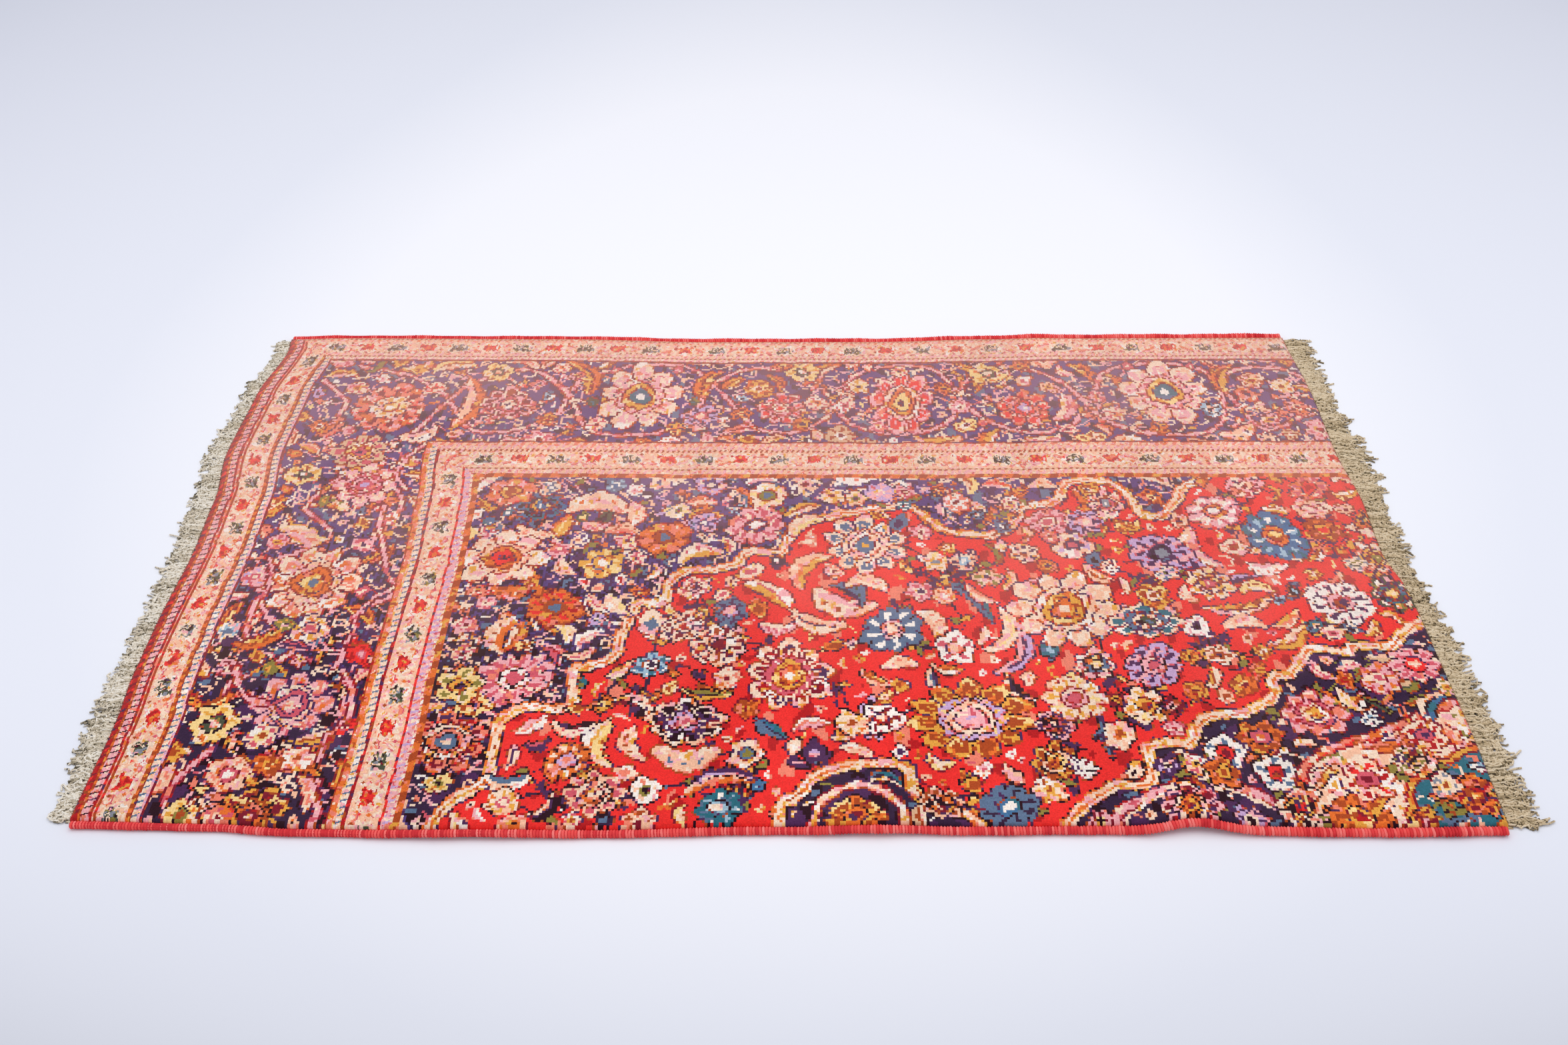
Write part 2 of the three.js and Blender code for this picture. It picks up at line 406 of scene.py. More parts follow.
class Brush:
    """A turned window of the chart with its own coordinates round a motif's middle.

    p runs across the motif, q towards its tip, r is the distance and a the angle from the tip.
    """

    # Outlines are left out where the mood is below the first, and change yarn where it is above the second
    BROKEN, SOFTENED = -0.6, 0.7

    def __init__(self, chart: KnotChart, x: float, y: float, reach: float, turn: float = 0.0) -> None:
        """Opens the window.

        Args:
            chart: The chart that is drawn on.
            x: The middle, in millimetres from the left end.
            y: The middle, in millimetres from the far selvedge's outer edge.
            reach: How far from the middle the motif goes.
            turn: Degrees clockwise, with 0 for a tip towards the far edge.
        """
        window = chart.near(x, y, reach)
        across, down = chart.x[window] - x, chart.y[window] - y
        turned = math.radians(turn)
        self.p = across * math.cos(turned) + down * math.sin(turned)
        self.q = across * math.sin(turned) - down * math.cos(turned)
        self.yarns, self.bare, self.mood = chart.yarns[window], chart.bare[window], chart.mood[window]
        self.tight = False
        self.measure()

    def measure(self) -> None:
        """Works out distance and angle from p and q."""
        self.r = np.hypot(self.p, self.q)
        self.a = np.arctan2(self.p, self.q)

    def squeeze(self, width: float, height: float) -> float:
        """Scales p and q so that an ellipse becomes a circle.

        Args:
            width: The ellipse's width.
            height: Its height.

        Returns:
            The circle's radius.
        """
        radius = math.sqrt(width * height) / 2
        self.p = self.p * radius * 2 / width
        self.q = self.q * radius * 2 / height
        self.measure()
        return radius

    def lobes(self, count: float, depth: float, sharpness: float = 0.7) -> np.ndarray:
        """Gives a factor of up to 1 that dips by depth between count petals."""
        return 1 - depth * (1 - np.abs(np.cos(count * self.a / 2)) ** sharpness)

    def unevenness(self, x: float, y: float, third: float) -> np.ndarray:
        """Gives a factor near 1 that makes a round motif uneven in its own way at each place."""
        return 1 + 0.05 * np.sin(2 * self.a + x) + third * np.sin(3 * self.a + y)

    def from_gap(self, count: float) -> np.ndarray:
        """Gives each knot's distance from the line between two petals."""
        return self.r * np.abs(np.cos(count * self.a / 2)) * 2 / count

    def from_spine(self, count: float) -> np.ndarray:
        """Gives each knot's distance from the middle line of its petal."""
        return self.r * np.abs(np.sin(count * self.a / 2)) * 2 / count

    def spindle(self, low: float, high: float, half_width: float, bluntness: float = 1.0) -> np.ndarray:
        """Gives the mask of a pointed shape, widest in its lower half.

        Args:
            low: Where it starts along q.
            high: Where its tip is.
            half_width: Half its greatest width.
            bluntness: Below 1 for blunter ends.

        Returns:
            The mask.
        """
        share = np.clip((self.q - low) / (high - low), 0, 1)
        half = half_width * np.sin(math.pi * share ** 0.75) ** bluntness
        return (np.abs(self.p) < half) & (share > 0) & (share < 1)

    def fill(self, mask: np.ndarray, yarn: Yarn, edge: Yarn | None = None) -> None:
        """Knots a mask in one yarn, with a broken outline round it if it has one.

        Args:
            mask: The knots to fill.
            yarn: Their yarn.
            edge: The outline's yarn, or None.
        """
        if edge is not None:
            rim = grown(mask) & ~mask & (self.mood > self.BROKEN)
            if self.tight:
                rim &= self.bare
            self.yarns[rim] = edge
            self.yarns[rim & (self.mood > self.SOFTENED)] = SOFTER_EDGES.get(edge, edge)
            self.bare[rim] = False
        self.yarns[mask] = yarn
        self.bare[mask] = False


def curve_through(points: Line, step: float = 2.0) -> np.ndarray:
    """Draws a smooth curve through points.

    Args:
        points: The places it passes.
        step: The spacing of the result along the curve.

    Returns:
        The curve's places, one row each.
    """
    through = np.array(points, dtype=float)
    padded = np.vstack([2 * through[0] - through[1], through, 2 * through[-1] - through[-2]])
    parts = []
    for a, b, c, d in zip(padded, padded[1:], padded[2:], padded[3:]):
        count = max(2, int(np.hypot(*(c - b)) / step))
        t = (np.arange(count) / count)[:, None]
        parts.append(0.5 * (2 * b + (c - a) * t + (2 * a - 5 * b + 4 * c - d) * t ** 2
                            + (3 * b - a - 3 * c + d) * t ** 3))
    return np.vstack([*parts, through[-1:]])


class Weaver:
    """Draws the motifs of the design on a chart."""

    def __init__(self, chart: KnotChart) -> None:
        """Keeps the chart that is drawn on."""
        self.chart = chart
        self.careful = False

    def has_room(self, brush: Brush, body: np.ndarray, edge: Yarn | None) -> bool:
        """Says whether a motif may be drawn: always, or in careful work only on bare ground.

        Args:
            brush: The motif's window.
            body: The motif's mask.
            edge: The outline's yarn, or None.

        Returns:
            True if it may.
        """
        brush.tight = self.careful
        needed = grown(body) if edge is None else body
        return not self.careful or (bool(body.any()) and bool(brush.bare[needed].all()))

    def flower(self, x: float, y: float, r: float, petals: float, yarns: Sequence[Yarn], turn: float = 0.0,
               edge: Yarn | None = Yarn.INK) -> None:
        """Draws a round flower.

        Args:
            x: The middle, in millimetres from the left end.
            y: The middle, in millimetres from the far edge.
            r: The radius.
            petals: How many petals it has.
            yarns: Petal, petal mark, ring and heart.
            turn: Degrees clockwise.
            edge: The outline's yarn.
        """
        petal, mark, ring, heart = yarns
        petals = min(petals, max(5, int(r / 3)))
        brush = Brush(self.chart, x, y, r * 1.3, turn)
        squash = 1 + 0.1 * math.sin(x * 1.7 + y)
        brush.squeeze(2 * r * squash, 2 * r / squash)
        body = brush.r < r * brush.lobes(petals, 0.3 if petals < 8 else 0.16) * brush.unevenness(x, y, 0.04)
        if not self.has_room(brush, body, edge):
            return
        brush.fill(body, petal, edge)
        if r > 24:
            gaps = body & (brush.from_gap(petals) < 1.5) & (brush.r > 0.72 * r)
            brush.fill(gaps, edge if edge is not None else mark)
        if r > 9:
            share = (brush.r / r - 0.4) / 0.42
            wedge = (share > 0) & (share < 1) & (brush.from_spine(petals) < 0.8 + share * 0.75 * r / petals)
            brush.fill(body & wedge, mark)
        brush.fill(brush.r < 0.38 * r, ring, edge if r > 20 else None)
        brush.fill(brush.r < max(1.9, 0.22 * r), heart, edge if r > 34 else None)

    def palmette(self, x: float, y: float, wide: float, tall: float, turn: float, petals: float,
                 yarns: Sequence[Yarn], edge: Yarn) -> None:
        """Draws a lotus palmette: petals in a fan round a pointed shield.

        Args:
            x: The middle, in millimetres from the left end.
            y: The middle, in millimetres from the far edge.
            wide: Its width.
            tall: Its height.
            turn: Degrees clockwise, with 0 for a tip towards the far edge.
            petals: How many petals go round it.
            yarns: Petal rim, petal, ring of small petals, shield, heart and tip.
            edge: The outline's yarn.
        """
        rim, petal, ring, shield, heart, tip = yarns
        brush, unsqueezed = (Brush(self.chart, x, y, max(wide, tall) * 0.62, turn) for _ in range(2))
        r = brush.squeeze(wide, tall)
        crown = 0.12 * np.exp(-((brush.a / 0.3) ** 2))
        scallop = r * brush.lobes(petals, 0.3, 0.8) * (brush.unevenness(x, y, 0.05) + crown)
        body = brush.r < scallop
        gap, spine = brush.from_gap(petals), brush.from_spine(petals)
        brush.fill(body, rim, edge)
        brush.fill(body & (gap < 1.5) & (brush.r > 0.6 * r), edge)
        brush.fill((brush.r < 0.84 * scallop) & (gap > 0.05 * r + 2.2), petal)
        if r > 42:
            brush.fill((np.abs(brush.r - 0.68 * r) < 0.08 * r) & (spine < 2), rim)
        brush.fill(brush.r < 0.56 * r * brush.lobes(petals, 0.16), ring, edge)
        if r > 36:
            brush.fill((np.abs(brush.r - 0.46 * r) < 2.4) & (spine < 2), rim)
        for size, yarn in ((1.0, shield), (0.62, heart), (0.26, tip)):
            shape = unsqueezed.spindle(-0.2 * tall * size, 0.25 * tall * size, 0.19 * wide * size, 0.8)
            brush.fill(shape, yarn, edge if size > 0.5 else None)

    def leaf(self, x0: float, y0: float, x1: float, y1: float, wide: float, bend: float,
             yarns: Sequence[Yarn], edge: Yarn | None = Yarn.INK, teeth: float = 0) -> None:
        """Draws a curved leaf in two yarns with a vein.

        Args:
            x0: The root, in millimetres from the left end.
            y0: The root, in millimetres from the far edge.
            x1: The tip's x.
            y1: The tip's y.
            wide: Its greatest width.
            bend: How far its middle stands aside, as a share of its length.
            yarns: The outer half, the inner half and the vein.
            edge: The outline's yarn.
            teeth: How many teeth its edges have.
        """
        outer, inner, vein = yarns
        length = math.hypot(x1 - x0, y1 - y0)
        aside = np.array([y0 - y1, x1 - x0]) * bend
        t = np.linspace(0, 1, max(7, int(length / 3)))[:, None]
        start, end = np.array([x0, y0]), np.array([x1, y1])
        spine = (1 - t) ** 2 * start + 2 * t * (1 - t) * ((start + end) / 2 + 2 * aside) + t ** 2 * end
        middle = (start + end) / 2 + aside / 2
        brush = Brush(self.chart, middle[0], middle[1], length * 0.55 + wide / 2)
        dx = brush.p[..., None] + middle[0] - spine[:, 0]
        dy = middle[1] - brush.q[..., None] - spine[:, 1]
        distance = dx * dx + dy * dy
        nearest = distance.argmin(-1)
        dx, dy, distance = (np.take_along_axis(part, nearest[..., None], -1)[..., 0]
                            for part in (dx, dy, distance))
        distance = np.sqrt(distance)
        run = np.gradient(spine, axis=0)
        run /= np.hypot(run[:, 0], run[:, 1])[:, None]
        side = run[nearest, 0] * dy - run[nearest, 1] * dx
        share = nearest / (len(spine) - 1)
        half = wide / 2 * np.sin(math.pi * share ** 0.8) ** 0.75
        if teeth:
            half = half * (0.8 + 0.4 * ((share * teeth) % 1))
        body = (distance < half) | ((distance < 1.7) & (share < 0.3))
        if not self.has_room(brush, body, edge):
            return
        brush.fill(body, outer, edge)
        if wide > 7:
            brush.fill(body & (side * (1 if bend >= 0 else -1) < -1), inner)
        if wide > 12:
            brush.fill(body & (np.abs(side) < 1.5) & (share > 0.1) & (share < 0.8), vein)

    def cloud(self, x: float, y: float, size: float, turn: float, yarns: Sequence[Yarn],
              edge: Yarn | None) -> None:
        """Draws a cloud leaf: a thick crescent with a scalloped back.

        Args:
            x: The middle, in millimetres from the left end.
            y: The middle, in millimetres from the far edge.
            size: Half its length.
            turn: Degrees clockwise, with 0 for a back towards the far edge.
            yarns: The back, the inner side and the spots.
            edge: The outline's yarn.
        """
        back, inner, spot = yarns
        brush = Brush(self.chart, x, y, size * 1.2, turn)
        across = np.clip(np.abs(brush.p) / size, 0, 1)
        bent = brush.q + 0.45 * size * across ** 2
        half = 0.5 * size * np.sqrt(1 - across ** 2)
        scallop = half * (0.84 + 0.16 * np.abs(np.cos(across * 4.6)))
        body = (bent < scallop) & (bent > -0.75 * half) & (across < 1)
        if not self.has_room(brush, body, edge):
            return
        brush.fill(body, back, edge)
        brush.fill(body & (bent < -0.15 * half) & (across < 0.8), inner)
        if size > 14:
            dots = (np.abs(across - 0.45) < 2.2 / size) | (np.abs(brush.p) < 2.2)
            brush.fill(body & dots & (np.abs(bent - 0.25 * half) < 0.1 * size), spot)

    def stroke(self, points: Line, wide: float, yarn: Yarn, edge: Yarn | None = None,
               bare_only: bool = False) -> None:
        """Draws a line through points.

        Args:
            points: The places it passes.
            wide: Its width.
            yarn: Its yarn.
            edge: The yarn of the lines at its sides, or None.
            bare_only: True to draw it on bare ground only.
        """
        rounds = [(wide / 2 + 2.6, edge), (wide / 2, yarn)]
        for reach, wool in rounds if edge is not None else rounds[1:]:
            for x, y in curve_through(points):
                brush = Brush(self.chart, x, y, reach)
                touched = brush.r < reach
                brush.fill(touched & brush.bare if bare_only else touched, wool)

    def bud(self, x: float, y: float, size: float, turn: float, yarns: Sequence[Yarn],
            edge: Yarn | None = Yarn.INK) -> None:
        """Draws a closed bud between two small leaves.

        Args:
            x: The middle, in millimetres from the left end.
            y: The middle, in millimetres from the far edge.
            size: Its length.
            turn: Degrees clockwise, with 0 for a tip towards the far edge.
            yarns: The bud, its heart and the leaves.
            edge: The outline's yarn.
        """
        petal, heart, leaf = yarns
        brush = Brush(self.chart, x, y, size, turn)
        low = np.clip((brush.q + size * 0.6) / (size * 0.75), 0, 1)
        aside = np.abs(np.abs(brush.p) - size * 0.34 * low ** 1.5)
        calyx = (aside < size * 0.11) & (low > 0) & (low < 1)
        body = brush.spindle(-size * 0.5, size * 0.5, size * 0.36, 0.8)
        if not self.has_room(brush, body | calyx, edge):
            return
        brush.fill(calyx, leaf, edge if size > 17 else None)
        brush.fill(body, petal, edge)
        if size >= 12:
            brush.fill(brush.spindle(-size * 0.32, size * 0.18, size * 0.16), heart)

    def inside(self, points: Line) -> np.ndarray:
        """Finds the knots inside a closed outline.

        Args:
            points: The outline's corners.

        Returns:
            The mask of those knots.
        """
        x, y = self.chart.x, self.chart.y
        mask = np.zeros(x.shape, bool)
        for (x0, y0), (x1, y1) in zip(points, [*points[1:], points[0]]):
            if y0 != y1:
                mask ^= ((y0 > y) != (y1 > y)) & (x < (x1 - x0) * (y - y0) / (y1 - y0) + x0)
        return mask

    def ground(self, mask: np.ndarray, yarn: Yarn) -> None:
        """Knots a ground that motifs may still cover."""
        self.chart.yarns[mask] = yarn
        self.chart.bare[mask] = True


# The dark grounds turn to dusk, a paler purple, up to about this distance from the far edge, in patches over
# the spread
DUSK_DEPTH, DUSK_SPREAD = 520.0, 150.0

# Up to about this distance from the far edge the black outlines are plum and wine
SOFT_OUTLINE_DEPTH = 640.0

# How much larger the flowers and palmettes are than their tables say
FLOWER_GROWTH = 1.14
PALMETTE_GROWTH = 1.06

# Where the main parts of the border run, measured in from the rug's outer edge in millimetres
OUTER_GUARD = (23.0, 55.0)
MAIN_BORDER = (73.0, 262.0)
INNER_GUARD = (283.0, 318.0)
FIELD_START = 340.0

# The border's plain lines and barber poles: marks is the yarn of the slanting bars across a line
BAR_SLANT = 0.4
LEFT_BANDS = table("""
start end yarn marks pitch share
0 5 crimson wine 13 0.4
5 8 rust orange 11 0.5
8 16 pink ink 9.5 0.22
16 19 wine crimson 15 0.5
19 21 coral coral 9 0
21 24 rust crimson 19 0.4
24 55 peach peach 9 0
55 59 orange rust 12 0.45
59 61 rust wine 13 0.4
61 68 ivory steel 9.5 0.28
68 70 pink lilac 9.5 0.3
70 73 wine wine 9 0
73 262 navy navy 9 0
262 264 rust crimson 13 0.4
264 270 orange coral 31 0.4
270 272 peach gold 17 0.4
272 279 ivory steel 9.5 0.25
279 283 wine crimson 23 0.4
283 318 peach peach 9 0
318 321 red wine 17 0.3
321 329 pink lilac 9.5 0.35
329 332 ivory rose 9.5 0.25
332 340 orange rust 27 0.45
""")

FAR_BANDS = table("""
start end yarn marks pitch share
0 15 coral coral 9 0
15 19 sand rust 7 0.5
19 24 peach coral 12 0.4
24 50 peach peach 9 0
50 53 sand rust 8 0.4
53 60 peach pink 11 0.5
60 63 sand rust 7 0.5
63 69 pink ivory 9.5 0.4
69 73 wine rust 23 0.4
73 262 navy navy 9 0
262 265 wine rust 21 0.4
265 272 coral peach 12 0.5
272 280 peach pink 9.5 0.4
280 285 peach rust 7 0.45
285 320 peach peach 9 0
320 323 sand rust 8 0.5
323 332 peach pink 9.5 0.4
332 340 orange rust 25 0.45
""")

# Where the outlines of spandrel, medallion and pendant run
SPANDREL_EDGE = [
    (1300, 330), (1290, 345), (1260, 365), (1250, 390), (1225, 418), (1205, 418), (1195, 400), (1185, 365),
    (1150, 345), (1110, 355), (1095, 390), (1050, 400), (1040, 425), (1010, 455), (955, 450), (930, 430),
    (905, 400), (860, 405), (800, 420), (765, 440), (745, 470), (740, 490), (700, 487), (685, 510),
    (660, 520), (620, 525), (605, 545), (598, 580), (570, 583), (552, 640), (548, 670), (520, 687),
    (503, 692), (505, 748), (455, 750), (430, 775), (428, 855), (400, 880), (375, 925),
]
MEDALLION_EDGE = [
    (1520, 598), (1500, 610), (1465, 635), (1455, 650), (1410, 650), (1400, 660), (1360, 655), (1340, 675),
    (1325, 695), (1305, 700), (1300, 725), (1280, 745), (1250, 757), (1220, 760), (1200, 780), (1190, 800),
    (1145, 805), (1140, 855), (1100, 860), (1060, 890), (1035, 925),
]
PENDANT_EDGE = [
    (740, 925), (745, 890), (765, 870), (780, 850), (810, 835), (850, 830), (880, 835), (885, 865),
    (905, 885), (945, 900), (960, 925),
]
MEDALLION_LOBE = [
    (1275, 925), (1290, 880), (1310, 830), (1345, 805), (1400, 785), (1450, 760), (1520, 728),
]
MEDALLION_HEART = [(1395, 925), (1402, 895), (1420, 850), (1450, 830), (1520, 792)]
PENDANT_DOME = [(775, 925), (790, 880), (830, 860), (865, 880), (880, 925)]

FLOWERS = enlarged(table("""
x y r petals yarns edge
185 185 47 9 coral-wine-green-ivory wine
185 185 23 8 ivory-gold-gold-white
325 100 20 6 yellow-gold-green-ivory
765 100 22 6 yellow-gold-green-ivory
1030 105 22 6 yellow-gold-green-ivory
130 140 14 5 ivory-rose-gold-rust
240 140 13 5 ivory-red-red-wine
410 215 13 5 orange-wine-gold-wine
735 85 11 5 orange-wine-gold-wine
680 200 12 5 orange-wine-yellow-wine wine
825 180 14 6 ivory-rose-rose-wine
845 135 14 6 ivory-gold-gold-wine wine
785 175 14 6 ivory-rose-orange-wine
965 140 13 5 orange-wine-gold-ink
985 185 15 6 pink-rose-ivory-wine
1080 85 12 5 orange-wine-gold-ink
625 205 22 7 lilac-plum-rose-ivory
1335 190 15 6 sky-navy-ivory-navy
1445 135 16 6 ivory-gold-gold-rust
1455 185 16 6 coral-wine-ivory-wine
1200 200 15 6 ivory-rose-coral-wine
1180 160 12 5 pink-rose-gold-wine
1410 215 14 6 pink-wine-gold-ink
1255 235 12 5 orange-wine-gold-ink
1130 235 11 5 ivory-rose-rose-ink
905 100 12 5 ivory-rose-gold-ink
480 225 14 6 ivory-rose-coral-wine
440 110 10 5 pink-wine-gold-ink
590 235 12 5 gold-wine-orange-ink
870 230 13 6 pink-rose-ivory-wine
765 225 13 5 orange-wine-gold-ink
100 335 21 6 yellow-gold-green-ivory
110 775 26 6 yellow-gold-green-ivory
100 690 14 6 pink-wine-wine-ivory
100 470 13 5 pink-rose-gold-wine
235 310 13 5 ivory-rose-gold-wine
235 425 12 5 ivory-rose-coral-wine
95 230 12 5 orange-wine-ivory-wine
640 432 17 6 lilac-plum-plum-ivory
603 410 12 5 yellow-rust-rust-ink
645 355 19 6 lilac-ivory-plum-ivory
567 560 9 5 orange-wine-gold-ink
805 380 14 5 ivory-gold-gold-wine
835 384 13 5 ivory-gold-olive-wine
900 370 12 5 pink-rose-wine-ivory
925 365 12 5 plum-lilac-lilac-ivory
965 392 17 6 coral-white-white-wine
1050 370 10 5 orange-wine-gold-ink
1035 393 11 5 ivory-rose-gold-ink
1020 440 11 5 steel-navy-navy-ivory
440 652 9 5 yellow-rust-rust-ink
435 705 38 14 pink-rose-white-rose
395 745 18 5 yellow-rust-coral-ink
378 860 12 5 yellow-gold-olive-ink
460 485 13 5 pink-rose-rose-ivory
1219 380 14 6 orange-wine-yellow-wine
945 365 9 5 orange-wine-yellow-wine
545 470 14 5 ivory-rose-gold-ink
365 450 11 5 ivory-rose-rose-ink
370 560 12 5 coral-wine-ivory-wine
365 620 13 5 pink-rose-ivory-wine
370 665 12 5 ivory-rose-wine-ink
520 610 10 5 lilac-plum-ivory-ink
1140 365 12 5 gold-rust-ivory-ink
990 415 9 5 steel-navy-ivory-ink
685 405 9 5 sky-navy-navy-ivory
560 500 11 5 ivory-rose-rose-ink
898 400 9 5 teal-white-white-ink
1070 835 13 5 white-ink-ink-white
1120 735 11 5 wine-ink-gold-ink
1152 745 24 7 ivory-gold-gold-wine
1180 745 13 5 wine-ink-pink-ink
1237 625 12 5 white-navy-navy-ivory
1215 668 11 5 gold-rust-rust-ink
1250 665 15 6 ivory-rust-rust-ink
1302 660 10 5 gold-rust-ivory-rust
625 620 23 10 ivory-wine-ivory-wine
670 650 30 12 ivory-wine-ivory-wine
592 683 18 6 sky-blue-white-navy
540 745 12 5 orange-ink-yellow-ink
510 828 22 8 orange-ivory-lilac-pink
450 885 17 6 ivory-gold-rose-ivory
680 890 22 7 teal-sky-sky-ivory
720 860 7 5 blue-navy-sky-ink
855 765 21 6 white-wine-wine-ivory
1412 578 34 8 white-plum-pink-wine
1190 567 19 6 gold-rust-ivory-rust
1295 410 30 9 pink-white-orange-white
1470 680 25 8 pink-rose-red-ivory
1190 830 13 5 ivory-rose-gold-ink
1160 832 12 5 plum-lilac-ivory-ink
1480 870 24 7 orange-wine-wine-gold
1350 900 29 8 orange-rust-gold-wine
1415 905 15 6 gold-wine-wine-ivory
823 902 24 9 gold-rust-orange-wine
866 372 17 6 lilac-pink-ivory-pink plum
1105 475 23 5 ivory-lilac-plum-rose
1080 430 23 8 pink-rose-ivory-rose wine
1126 430 21 8 lilac-plum-pink-ivory
1078 457 11 5 coral-rose-pink-wine
1145 515 12 5 ivory-ink-ink-white
930 505 16 5 ivory-gold-gold-grey
967 503 16 6 peach-plum-sky-white plum
993 535 15 5 peach-olive-ivory-ink
910 560 15 5 pink-rose-ivory-wine
938 567 13 5 peach-orange-coral-ivory
945 655 22 5 white-rose-coral-peach
1073 733 31 10 ivory-gold-pink-rose wine
1172 682 30 8 lilac-plum-pink-rose
1116 788 17 5 ivory-peach-gold-rust
1030 866 16 5 ivory-gold-gold-rust
985 888 27 8 steel-navy-blue-white
1176 440 12 5 gold-rust-orange-rust
822 772 17 5 ivory-gold-peach-rust
1362 457 37 10 blue-sky-orange-gold
1305 478 15 6 ivory-pink-wine-wine wine
1213 490 33 8 lilac-plum-navy-grey plum
1213 526 12 5 ivory-steel-lilac-green
1427 362 23 7 coral-rose-red-crimson wine
1418 405 19 6 peach-pink-pink-ivory wine
1483 425 14 5 orange-navy-navy-gold
1345 358 22 8 pink-wine-ivory-wine wine
1450 508 13 5 ivory-grey-green-ivory
1232 618 15 5 white-pink-plum-navy
1373 617 11 5 teal-navy-ivory-navy
1390 629 11 5 ivory-pink-rose-wine
1413 622 9 5 steel-ivory-navy-ink
1425 445 20 6 rust-orange-gold-red wine
680 595 20 7 steel-plum-lilac-ivory
635 553 18 5 ivory-rose-pink-ink
383 371 27 6 coral-orange-gold-rust wine
433 362 13 5 ivory-steel-steel-white wine
520 358 13 5 steel-sky-white-blue plum
720 378 23 5 ivory-yellow-olive-steel wine
707 437 32 9 pink-rose-plum-white wine
375 717 25 5 yellow-olive-gold-ink
705 816 18 5 ivory-peach-steel-olive
600 868 16 5 white-peach-olive-ink
592 461 28 8 orange-coral-rust-steel wine
468 588 29 8 orange-red-rust-steel wine
605 409 13 5 ivory-yellow-olive-ink plum
517 510 25 7 gold-yellow-gold-white plum
1226 812 21 5 white-steel-red-wine
1270 790 22 6 orange-rust-rose-coral
1275 841 21 5 white-steel-red-wine
1218 841 18 5 orange-rust-gold-rust
1370 850 25 6 ivory-crimson-rose-wine wine
1450 787 20 6 ivory-crimson-rose-wine wine
1450 857 15 5 ivory-grey-yellow-rust
1385 705 11 5 orange-rust-red-rust
1424 702 21 6 pink-orange-ivory-rose wine
873 625 33 8 steel-white-pink-ivory
181 626 21 6 ivory-gold-peach-rose plum
250 668 15 5 red-crimson-rose-ivory wine
90 535 16 5 pink-lilac-rose-ivory wine
84 627 13 5 ivory-sky-sky-steel
168 793 17 5 ivory-rose-yellow-gold plum
148 848 22 6 peach-coral-rose-ivory wine
187 834 14 5 orange-rust-gold-rust wine
218 826 16 5 ivory-coral-peach-rust wine
258 778 12 5 red-crimson-pink-wine plum
112 903 18 5 yellow-gold-olive-rust
152 905 14 5 coral-rose-ivory-wine
210 475 13 5 pink-rose-ivory-wine plum
150 618 11 5 olive-gold-ivory-ink plum
""", edge=Yarn.INK), FLOWER_GROWTH, "r")

PALMETTES = enlarged(table("""
x y wide tall turn petals yarns edge
350 178 72 74 0 9 pink-wine-pink-rose-ivory-wine wine
535 160 116 138 0 9 ivory-pink-pink-gold-teal-white wine
735 188 62 66 0 9 pink-red-rose-pink-ivory-red wine
905 175 86 140 0 9 pink-red-ivory-orange-yellow-ink wine
1075 188 72 74 0 9 coral-red-pink-red-lilac-white wine
1277 150 124 134 0 9 ivory-pink-pink-gold-teal-white wine
165 285 72 66 -90 9 sand-rose-ivory-gold-rose-wine wine
185 905 80 72 -90 9 gold-wine-rust-orange-wine-ivory
425 400 60 52 0 8 blue-navy-navy-gold-blue-white
392 500 100 104 -90 8 ivory-ivory-peach-orange-red-ink wine
375 800 86 90 -90 9 coral-wine-ivory-coral-steel-ivory
845 475 98 100 0 10 ivory-steel-peach-ivory-steel-gold
1080 590 124 126 20 10 ivory-peach-ivory-gold-orange-ivory
955 765 134 108 0 11 gold-rust-lilac-ivory-pink-lilac
1175 610 88 52 0 8 ivory-teal-steel-ivory-green-steel
545 872 62 58 0 8 peach-rose-ivory-coral-ivory-wine
1262 545 54 52 60 8 ivory-gold-ivory-gold-rose-ivory
1430 460 68 74 0 9 red-gold-orange-red-gold-ivory
1480 562 52 60 0 8 green-ivory-teal-green-gold-ivory
1175 890 62 58 0 8 pink-wine-ivory-orange-gold-wine
1158 394 44 58 0 7 ivory-pink-peach-rose-grey-ivory
637 771 88 62 0 9 ivory-ink-plum-lilac-pink-rose
1105 680 44 46 0 7 ivory-pink-steel-gold-yellow-ivory
1042 826 50 50 0 7 gold-rust-ivory-gold-orange-ink
915 884 42 40 -20 7 peach-rust-orange-ivory-ink-ink
1047 772 40 44 0 7 pink-plum-wine-rose-navy-ivory
846 768 34 62 0 7 lilac-ink-pink-ivory-plum-white
1478 497 60 50 70 7 coral-ivory-gold-gold-olive-yellow
165 546 132 106 -90 10 ivory-coral-peach-orange-gold-steel wine
187 357 82 80 90 8 pink-ivory-rose-pink-rose-lilac wine
190 746 98 82 -90 8 pink-coral-ivory-rose-pink-ivory plum
752 700 92 106 0 9 ivory-wine-rose-gold-orange-white wine
1337 756 68 64 0 8 pink-coral-rose-ivory-gold-orange wine
1425 818 34 30 60 6 ivory-olive-gold-green-ink-gold
1290 888 44 52 40 7 ivory-coral-gold-yellow-crimson-ink
""", edge=Yarn.INK), PALMETTE_GROWTH, "wide", "tall")

